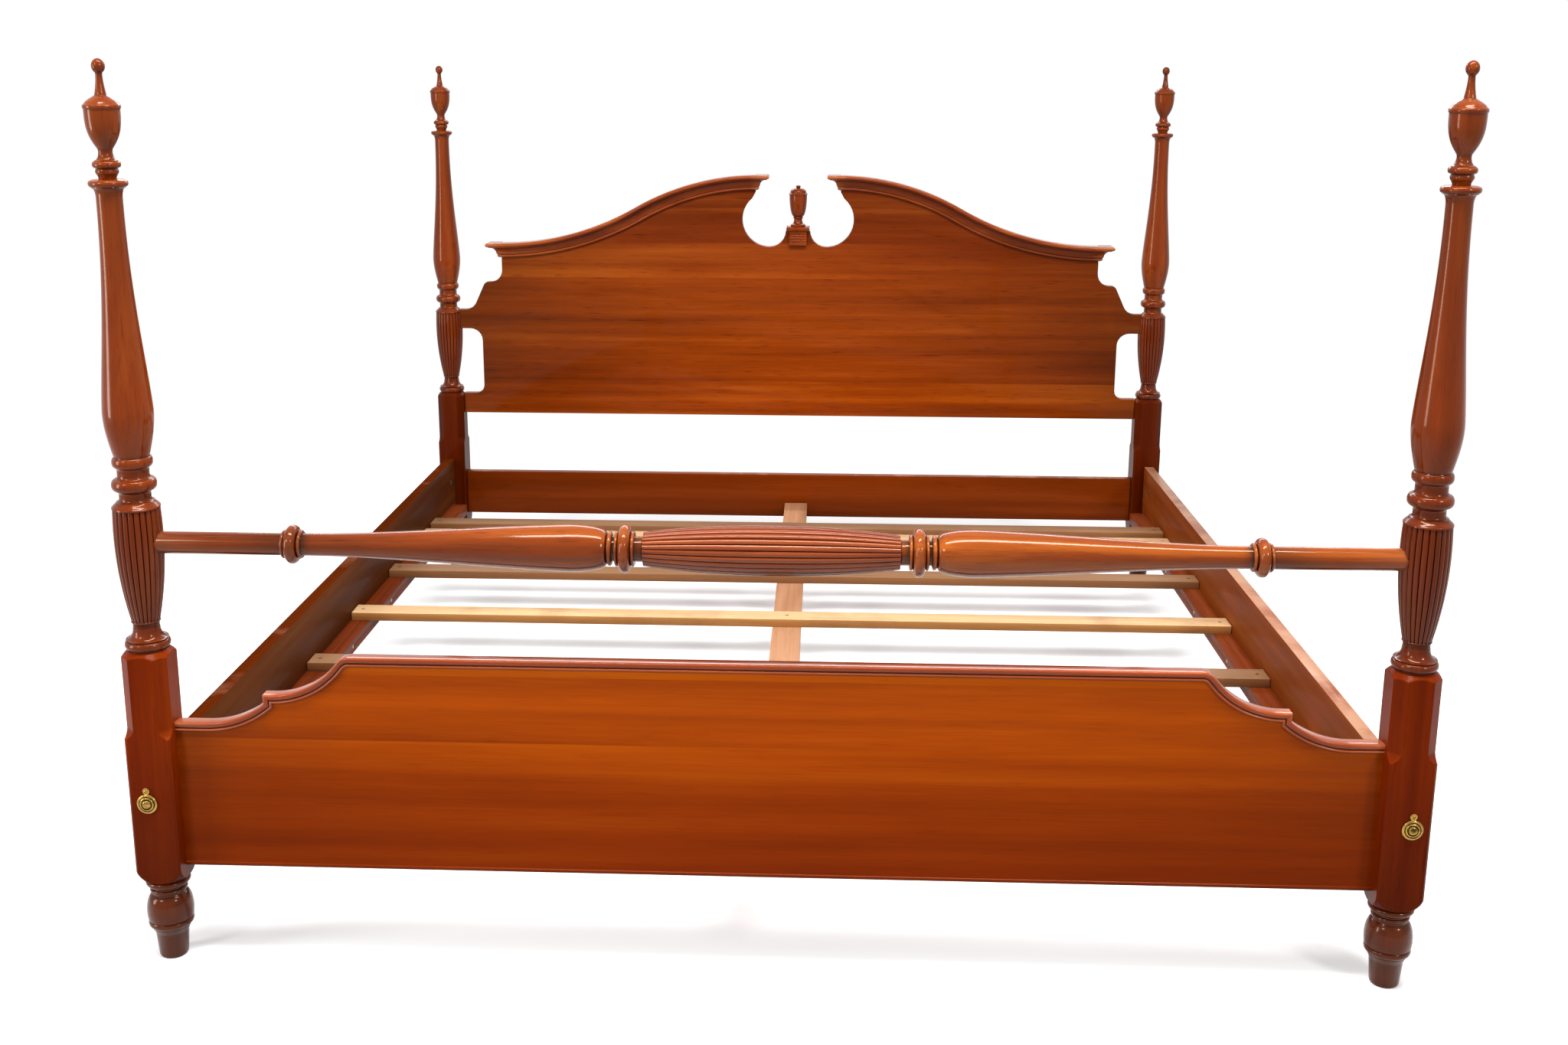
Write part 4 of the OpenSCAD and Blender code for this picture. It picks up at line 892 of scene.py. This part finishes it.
def makeCrown(node, side):
    low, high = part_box("headboard_panel")
    face, back = low.y / mm, high.y / mm
    line, shape = crownLine(), crownSection()
    firstX, firstZ, _ = line[0]
    lastX, lastZ, _ = line[-1]
    rings = [[(firstX + s, back, firstZ + d) for s, d in shape],
             [(firstX + s, face - s, firstZ + d) for s, d in shape]]
    rings += [[(x + d * sin(a), face - s, z + d * cos(a)) for s, d in shape] for x, z, a in line[1:-1]]
    rings += [[(lastX - s, face - s, lastZ + d) for s, d in shape],
              [(lastX - s, back, lastZ + d) for s, d in shape]]
    points = [(side * x, y, z) for ring in rings for x, y, z in ring]
    faces = [face[::-side] for face in ringFaces(len(rings), len(shape))]
    piece = pieceFrom(node + "Shaped", points, faces, crownWood, crease["shaped"])
    turnOutwards(piece, crease["shaped"])
    standIn(piece, "cherry", node)


makeCrown("crown_moulding_left", -1)
makeCrown("crown_moulding_right", 1)
print("crown shaped")


# pieces that keep the CAD's shape and joints, with their sharp edges eased

easing = {"merge": 2e-5, "flat": 0.5, "sharp": 50, "segments": 3, "facing": 0.7}
easedPieces = [  # node, width of the easing, finish, slot
    ("headboard_panel", 2.0, headboardWood, "cherry"),
    ("head_rail", 1.5, headRailWood, "cherry"),
    ("side_rail_left", 1.5, leftRailWood, "cherry", leftInsideShadedWood, Vector((1, 0, 0))),
    ("side_rail_right", 1.5, rightRailWood, "cherry", rightInsideLitWood, Vector((-1, 0, 0))),
    *[(f"cleat_{side}", 1.0, cleatWood, "cleat_wood") for side in ("left", "right")],
    ("centre_support", 1.0, supportWood, "pale_wood"),
    *[(f"support_leg_{i}", 0.8, legWood, "pale_wood") for i in (1, 2, 3)],
    ("plinth_block", 0.5, turnedWood, "cherry"),
    ("plinth_cap", 0.6, turnedWood, "cherry"),
]


# inner is the finish of the faces that look towards a direction
def easedCopy(node, edge, material, slot, inner=None, towards=None):
    shape = bmesh.new()
    shape.from_mesh(frame["nodes"][node].data)
    bmesh.ops.remove_doubles(shape, verts=shape.verts, dist=easing["merge"])
    bmesh.ops.dissolve_limit(shape, angle_limit=radians(easing["flat"]), verts=shape.verts,
                             edges=shape.edges)
    piece = solidFrom(node + "Eased", shape, material)
    bevel = piece.modifiers.new("eased", "BEVEL")
    bevel.width = edge * mm
    bevel.segments = easing["segments"]
    bevel.limit_method = "ANGLE"
    bevel.angle_limit = radians(easing["sharp"])
    bevel.use_clamp_overlap = True
    bakeModifiers(piece)
    smoothFaces(piece.data, crease["eased"])
    if inner:
        finishPart(piece, inner, lambda face: face.normal.dot(towards) > easing["facing"])
    standIn(piece, slot, node)


for row in easedPieces:
    easedCopy(*row)
print("boards eased")


# footboard: moulded band that follows the shaped top at a constant distance

board = {
    "lowZ": 165.0, "topZ": 528.0, "flatX": 669.0, "turn": 25.0, "hollow": 133.0, "slope": 50.0,
    "shift": 11.0, "peak": 13.0, "step": 15.0, "sweep": 150.0, "sweepAngle": 50.7, "thickness": 25.0,
    "tenon": 1.5,
    # band: distance from the edge, then depth in front of the back or behind the front
    "bandBack": ((3.0, 0.0), (0.9, 0.9), (0.0, 3.0)),
    "bandFront": ((0.0, 3.0), (0.4, 1.4), (1.4, 0.4), (3.0, 0.0), (5.4, 0.0), (6.9, 0.3), (7.9, 1.0),
                  (8.5, 2.0), (8.7, 3.4), (10.1, 3.4), (10.3, 2.0), (10.9, 0.9), (12.0, 0.3), (13.2, 0.5),
                  (14.2, 1.3), (14.8, 2.6), (15.0, 4.0)),
    # bead along the foot: height above the lower edge, then the same depths
    "footFront": ((6.8, 4.0), (6.0, 3.4), (5.4, 1.4), (4.0, 1.0), (2.4, 1.1), (0.9, 1.8), (0.0, 3.4)),
    "footBack": ((0.0, 2.0), (2.0, 0.0)),
}


# right half of the shaped top, this far inside the edge
def footboardEdge(d, endX):
    slope, swing = radians(board["slope"]), radians(board["sweepAngle"])
    turn = (board["flatX"], board["topZ"] - board["turn"])
    reach = board["turn"] + board["hollow"]
    hollow = (turn[0] + reach * sin(slope) + board["shift"] * cos(slope),
              turn[1] + reach * cos(slope) - board["shift"] * sin(slope))
    peak = (hollow[0] + board["peak"], hollow[1] - board["hollow"])
    sweep = (peak[0] + board["sweep"] * cos(swing), peak[1] - board["step"] + board["sweep"] * sin(swing))
    edge = [(0, board["topZ"] - d)]
    edge += arc(turn, board["turn"] - d, 90, 90 - board["slope"], 14)
    edge += arc(hollow, board["hollow"] + d, 270 - board["slope"], 268, 24)
    edge += [(peak[0] - d, peak[1] - d)]
    wide = board["sweep"] + d
    edge += arc(sweep, wide, 180 + degrees(acos((board["sweep"] * cos(swing) + d) / wide)), 270, 24)
    return edge + [(endX, sweep[1] - board["sweep"] - d)]


def makeFootboard(node):
    centre = middleOf(node)[1] / mm
    front, back = centre - board["thickness"] / 2, centre + board["thickness"] / 2
    endX = middleOf("foot_post_right")[0] / mm - post["halfBlock"] + board["tenon"]
    band = [(d, back - depth) for d, depth in board["bandBack"]]
    band += [(d, front + depth) for d, depth in board["bandFront"]]
    rows = []
    for d, y in band:
        edge = footboardEdge(d, endX)
        rows.append([(x, y, z) for x, z in [(-x, z) for x, z in reversed(edge[1:])] + edge])
    count, foot = len(rows[0]), board["lowZ"]
    under = [(foot + rise, front + depth) for rise, depth in board["footFront"]]
    under += [(foot + rise, back - depth) for rise, depth in board["footBack"]]
    rows += [[(x, y, z) for x, _, _ in rows[-1]] for z, y in under]
    total = len(rows)
    faces = []
    for j in range(total):
        nextRow = (j + 1) % total
        for i in range(count - 1):
            faces.append((j * count + i, nextRow * count + i, nextRow * count + i + 1, j * count + i + 1))
    faces.append(tuple(j * count for j in range(total))[::-1])
    faces.append(tuple(j * count + count - 1 for j in range(total)))
    points = [point for row in rows for point in row]
    piece = pieceFrom("footboardShaped", points, faces, footboardWood, crease["shaped"])
    finishPart(piece, bandWood, lambda face: face.index < (len(band) - 1) * (count - 1))
    turnOutwards(piece, crease["shaped"])
    standIn(piece, "cherry", node)


makeFootboard("footboard_panel")
print("footboard shaped")


# small urn in the middle of the headboard

urn = {"height": 113.0, "radius": 25.5, "peg": 5.0, "pegLength": 20.0}


def urnShape():
    wide = urn["radius"]
    shape = [(0, wide - 5.4), (0.004, wide - 5), (0.025, wide - 4.5), (0.042, wide - 5), (0.05, wide - 6)]
    shape += coveDown(0.05, wide - 6.5, 0.17, wide - 14) + swell(0.19, 0.235, wide - 14, wide - 11.5)
    shape += [(0.24 + 0.52 * (1 - cos(a)), wide - 13 + 12 * sin(a)) for a in turns(0, 90, 24, 1)]
    shape += [(0.77, wide - 0.2), (0.775, wide), (0.795, wide), (0.8, wide - 0.4), (0.81, wide - 2)]
    shape += [(0.82 + 0.11 * sin(a), wide - 3 - 15 * (1 - cos(a))) for a in turns(0, 90, 12)]
    return shape + swell(0.935, 0.998, 4, 6.5, 10) + [(1.0, 2.5)]


def makeUrn(node):
    x, y, _ = middleOf(node)
    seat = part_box(node)[1].z / mm - urn["height"]
    profile = [(seat - urn["pegLength"], urn["peg"]), (seat, urn["peg"])]
    profile += section(seat, urn["height"], urnShape())
    standIn(lathe("centreUrnTurned", profile, turnedWood, axis=(x / mm, y / mm)), "dark_turned_wood", node)


makeUrn("centre_urn")
print("urn turned")


# what repeats: copies of one small piece on evenly spaced rows and on one extra row

toneStep, toneSpread = 0.6, 0.4  # between one copy and the next, and by chance


def repeatTree(name, attribute):
    tree, (shape, rows, first, step, extra, copies, sideStart, sideStep, seed, finish) = startTree(name, [
        ("Rows", "Int"), ("First", "Vector"), ("Step", "Vector"), ("Extra", "Vector"),
        ("Side Copies", "Int"), ("Side Start", "Vector"), ("Side Step", "Vector"), ("Seed", "Int"),
        ("Finish", "Material")])

    def line(count, start, step):
        sockets = {"Count": count, "Start Location": start, "Offset": step}
        return valueOf("GeometryNodeMeshLine", sockets, mode="OFFSET")

    def copiesOn(points, instance):
        return valueOf("GeometryNodeInstanceOnPoints", {"Points": points, "Instance": instance})

    both = addNode(tree, "GeometryNodeJoinGeometry")
    tree.links.new(line(rows, first, step), both.inputs[0])
    tree.links.new(line(1, extra, (0, 0, 0)), both.inputs[0])
    places = copiesOn(both.outputs[0], line(copies, sideStart, sideStep))
    places = valueOf("GeometryNodeRealizeInstances", {0: places})
    # every other copy looks older, and none exactly like the next
    chance = valueOf("FunctionNodeRandomValue", {"Seed": seed}, 1, data_type="FLOAT")
    order = sums("ADD", addNode(tree, "GeometryNodeInputIndex").outputs[0], 1.0)
    tone = sums("MULTIPLY_ADD", sums("MODULO", order, 2.0), toneStep, product(chance, toneSpread))
    sockets = {"Geometry": copiesOn(places, shape), "Name": attribute, "Value": tone}
    marked = valueOf("GeometryNodeStoreNamedAttribute", sockets, data_type="FLOAT", domain="INSTANCE")
    return endTree(tree, marked, finish)


# slats: five evenly spaced from the foot end, and the sixth by the head rail
slat = {"edge": 1.2, "seed": 3, "rows": 5}
slatNodes = [f"slat_{i}" for i in range(1, 7)]
slatPlaces = [middleOf(n)[1] for n in slatNodes]


# repeats a piece on every slat, this many times across the bed
def layAcross(piece, tree, height, finish, seed, copies=1, side=0):
    first, second, *_, last = slatPlaces
    piece = runTree(piece, tree, {
        "Rows": slat["rows"], "First": (0, first, height), "Step": (0, second - first, 0),
        "Extra": (0, last, height), "Side Copies": copies, "Side Start": (-side, 0, 0),
        "Side Step": (side, 0, 0), "Seed": seed, "Finish": finish})
    smoothFaces(piece.data, crease["small"])
    return piece


def makeSlats():
    low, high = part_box(slatNodes[0])
    shape = bmesh.new()
    bmesh.ops.create_cube(shape, size=1.0)
    bmesh.ops.scale(shape, vec=(high.x - low.x, high.y - low.y, high.z - low.z), verts=shape.verts)
    bmesh.ops.bevel(shape, geom=shape.edges[:], offset=slat["edge"] * mm, segments=2, affect="EDGES",
                    profile=0.5)
    piece = solidFrom("slats", shape, slatWood)
    tree, height = repeatTree("repeatSlats", "slatTone"), middleOf(slatNodes[0])[2]
    standIn(layAcross(piece, tree, height, slatWood, slat["seed"]), "pale_wood", *slatNodes)


makeSlats()
print("slats laid")

# slat screws: a head with a crossed recess on a plain shank
screw = {"shank": 2.0, "slotWidth": 1.0, "slotLength": 4.4, "slotDepth": 1.2, "copies": 3, "seed": 5}


def makeSlatScrews(node):
    low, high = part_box(node)
    shank, length = screw["shank"], (high.z - low.z) / mm
    rings = [(-length, shank * 0.5), (-length + shank, shank), (-shank, shank), (-0.3, 2 * shank - 0.1),
             (0, 2 * shank - 0.3)]
    piece = lathe("slatScrewHeads", rings, screwSteel, 24)
    cross = bmesh.new()
    size = Vector((screw["slotLength"], screw["slotWidth"], 2 * screw["slotDepth"])) * mm
    for turn in (0, pi / 2):
        made = bmesh.ops.create_cube(cross, size=1.0)["verts"]
        bmesh.ops.scale(cross, vec=size, verts=made)
        bmesh.ops.rotate(cross, cent=(0, 0, 0), matrix=Matrix.Rotation(turn, 3, "Z"), verts=made)
    cutAway(piece, cross, "cross", crossed=True)
    tree, side = repeatTree("repeatSlatScrews", "screwTone"), high.x - 2 * shank * mm
    piece = layAcross(piece, tree, high.z, screwSteel, screw["seed"], screw["copies"], side)
    standIn(piece, "zinc_steel", node)


def finishNode(node, material):
    target = frame["nodes"][node]
    target.data.materials.clear()
    target.data.materials.append(material)


makeSlatScrews("slat_screws")
for node in ("bed_bolts", "barrel_nuts", "cleat_screws"):
    finishNode(node, screwSteel)
print("fasteners set")


# bolt covers: stepped disc, neck and eyelet, cast flat in one piece

cover = {
    "radius": 16.5, "drop": 22.0, "eyelet": 5.5, "plate": 2.0, "hole": 1.75, "neck": 3.4,
    # rings: height above the plate, distance inside the rim
    "rings": ((-0.1, 0.4), (0.3, 0.7), (0.9, 1.6), (1.1, 2.6), (0.7, 3.6), (0.6, 4.4), (1.4, 5.0),
              (2.3, 5.8), (2.5, 6.6), (2.1, 7.6), (1.9, 8.6), (2.6, 9.3)),
    "knobInside": 9.6, "knobFoot": 2.6, "knobRise": 2.8, "knobTip": 0.2,
}


def coverOutline():
    drop, wide, eye, neck = cover["drop"], cover["radius"], cover["eyelet"], cover["neck"]
    low, high = degrees(acos(neck / wide)), degrees(acos(neck / eye))
    return arc((0, 0), wide, low, -180 - low, 72) + arc((0, drop), eye, 180 + high, -high, 32)


def coverDome():
    top, wide = cover["plate"], cover["radius"]
    dome = [(top + rise, wide - inside) for rise, inside in cover["rings"]]
    knob = wide - cover["knobInside"]
    return dome + [(top + cover["knobFoot"] + cover["knobRise"] * sin(a),
                    max(knob * cos(a), cover["knobTip"])) for a in turns(0, 90, 8, 1)]


def makeCover(node):
    low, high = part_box(node)
    atHead = low.y > 0
    shape = bmesh.new()
    for ring in (coverOutline(), arc((0, cover["drop"]), cover["hole"], 0, 360, 32)[:-1]):
        loop = [shape.verts.new((x * mm, y * mm, 0)) for x, y in ring]
        for i in range(len(loop)):
            shape.edges.new((loop[i], loop[(i + 1) % len(loop)]))
    bmesh.ops.triangle_fill(shape, use_beauty=True, edges=shape.edges[:])
    lifted = bmesh.ops.extrude_face_region(shape, geom=shape.faces[:])["geom"]
    bmesh.ops.translate(shape, vec=(0, 0, cover["plate"] * mm),
                        verts=[v for v in lifted if isinstance(v, bmesh.types.BMVert)])
    bmesh.ops.recalc_face_normals(shape, faces=shape.faces)
    dome = lathe("dome", coverDome(), coverBrass, 64)
    shape.from_mesh(dome.data)
    bpy.data.objects.remove(dome)
    piece = solidFrom(node + "Cast", shape, coverBrass)
    stand = Matrix.Rotation(pi / 2, 4, "X")
    if atHead:
        stand = Matrix.Rotation(pi, 4, "Z") @ stand
    place = (middleOf(node)[0], low.y if atHead else high.y, post["boltHeight"] * mm)
    piece.data.transform(Matrix.Translation(place) @ stand)
    smoothFaces(piece.data, crease["cover"])
    standIn(piece, "antique_brass", node)


for node in fourOf("bolt_cover"):
    makeCover(node)
finishNode("cover_screws", coverBrass)
print("bolt covers cast")


# floor, world and soft lamps

studio = {
    "floorSize": 40.0, "floorColor": (0.9, 0.9, 0.9, 1), "floorBounce": (0.22, 0.21, 0.2, 1),
    "floorLift": 0.3, "fadeStart": 1.7, "fadeEnd": 4.0, "ambient": 0.3,
    "lamps": [  # name, place, what it points at, size, watts
        ("overhead", (0.2, -1.6, 3.7), (0, -0.2, 0.4), (3.0, 0.5), 190.0),
        ("frontLeft", (-3.2, -4.6, 3.4), (0, 0, 0.7), (0.9, 0.9), 80.0),
        ("windowLeft", (-3.8, -2.3, 1.2), (-1.0, -1.0, 1.1), (0.8, 1.9), 72.0),
        ("frontRight", (3.6, -4.2, 3.2), (0, 0, 0.7), (0.9, 0.9), 102.0),
        ("behind", (0.0, 4.2, 3.4), (0, -1.0, 0.6), (6.0, 0.35), 110.0),
    ],
}


# 1 for rays that should meet the white studio: from the camera, or mirrored or passed on by the object
def seenDirectly(tree):
    path = addNode(tree, "ShaderNodeLightPath").outputs
    return sums("MAXIMUM", path["Is Camera Ray"],
                sums("MAXIMUM", path["Is Glossy Ray"], path["Is Transmission Ray"]))


# pale floor that keeps the shadow and fades to white away from the bed
def layFloor():
    mesh = bpy.data.meshes.new("floor")
    half = studio["floorSize"] / 2
    corners = [(-half, -half, 0), (half, -half, 0), (half, half, 0), (-half, half, 0)]
    mesh.from_pydata(corners, [], [(0, 1, 2, 3)])
    floor = link(bpy.data.objects.new("floor", mesh))
    material, tree, place = startMaterial("floorPaint")
    seen = seenDirectly(tree)
    shade = mixed(seen, studio["floorBounce"], studio["floorColor"])
    paint = valueOf("ShaderNodeBsdfDiffuse", {"Color": shade})
    lift = valueOf("ShaderNodeEmission", {"Strength": product(seen, studio["floorLift"])})
    lifted = valueOf("ShaderNodeAddShader", {0: paint, 1: lift})
    away = valueOf("ShaderNodeVectorMath", {0: place}, "Value", operation="LENGTH")
    fade = ranged(away, studio["fadeStart"], studio["fadeEnd"], interpolation_type="SMOOTHSTEP")
    white = addNode(tree, "ShaderNodeEmission", {"Strength": 1.0}).outputs[0]
    faded = valueOf("ShaderNodeMixShader", {0: product(fade, seen), 1: lifted, 2: white})
    nodeOn("ShaderNodeOutputMaterial", {0: faded})
    mesh.materials.append(material)


def lightWorld():
    world = bpy.data.worlds.new("studio")
    world.use_nodes = True
    tree = world.node_tree
    tree.nodes.clear()
    strength = sums("MULTIPLY_ADD", seenDirectly(tree), 1.0 - studio["ambient"], studio["ambient"])
    sky = valueOf("ShaderNodeBackground", {"Color": (1, 1, 1, 1), "Strength": strength})
    nodeOn("ShaderNodeOutputWorld", {0: sky})
    bpy.context.scene.world = world


def hangLamps():
    for name, place, target, size, power in studio["lamps"]:
        light = bpy.data.lights.new(name, "AREA")
        light.shape = "RECTANGLE"
        light.size, light.size_y = size
        light.energy = power
        lamp = link(bpy.data.objects.new(name, light))
        lamp.location = place
        lamp.rotation_euler = (Vector(target) - Vector(place)).to_track_quat("-Z", "Y").to_euler()


layFloor()
lightWorld()
hangLamps()
print("studio lit")
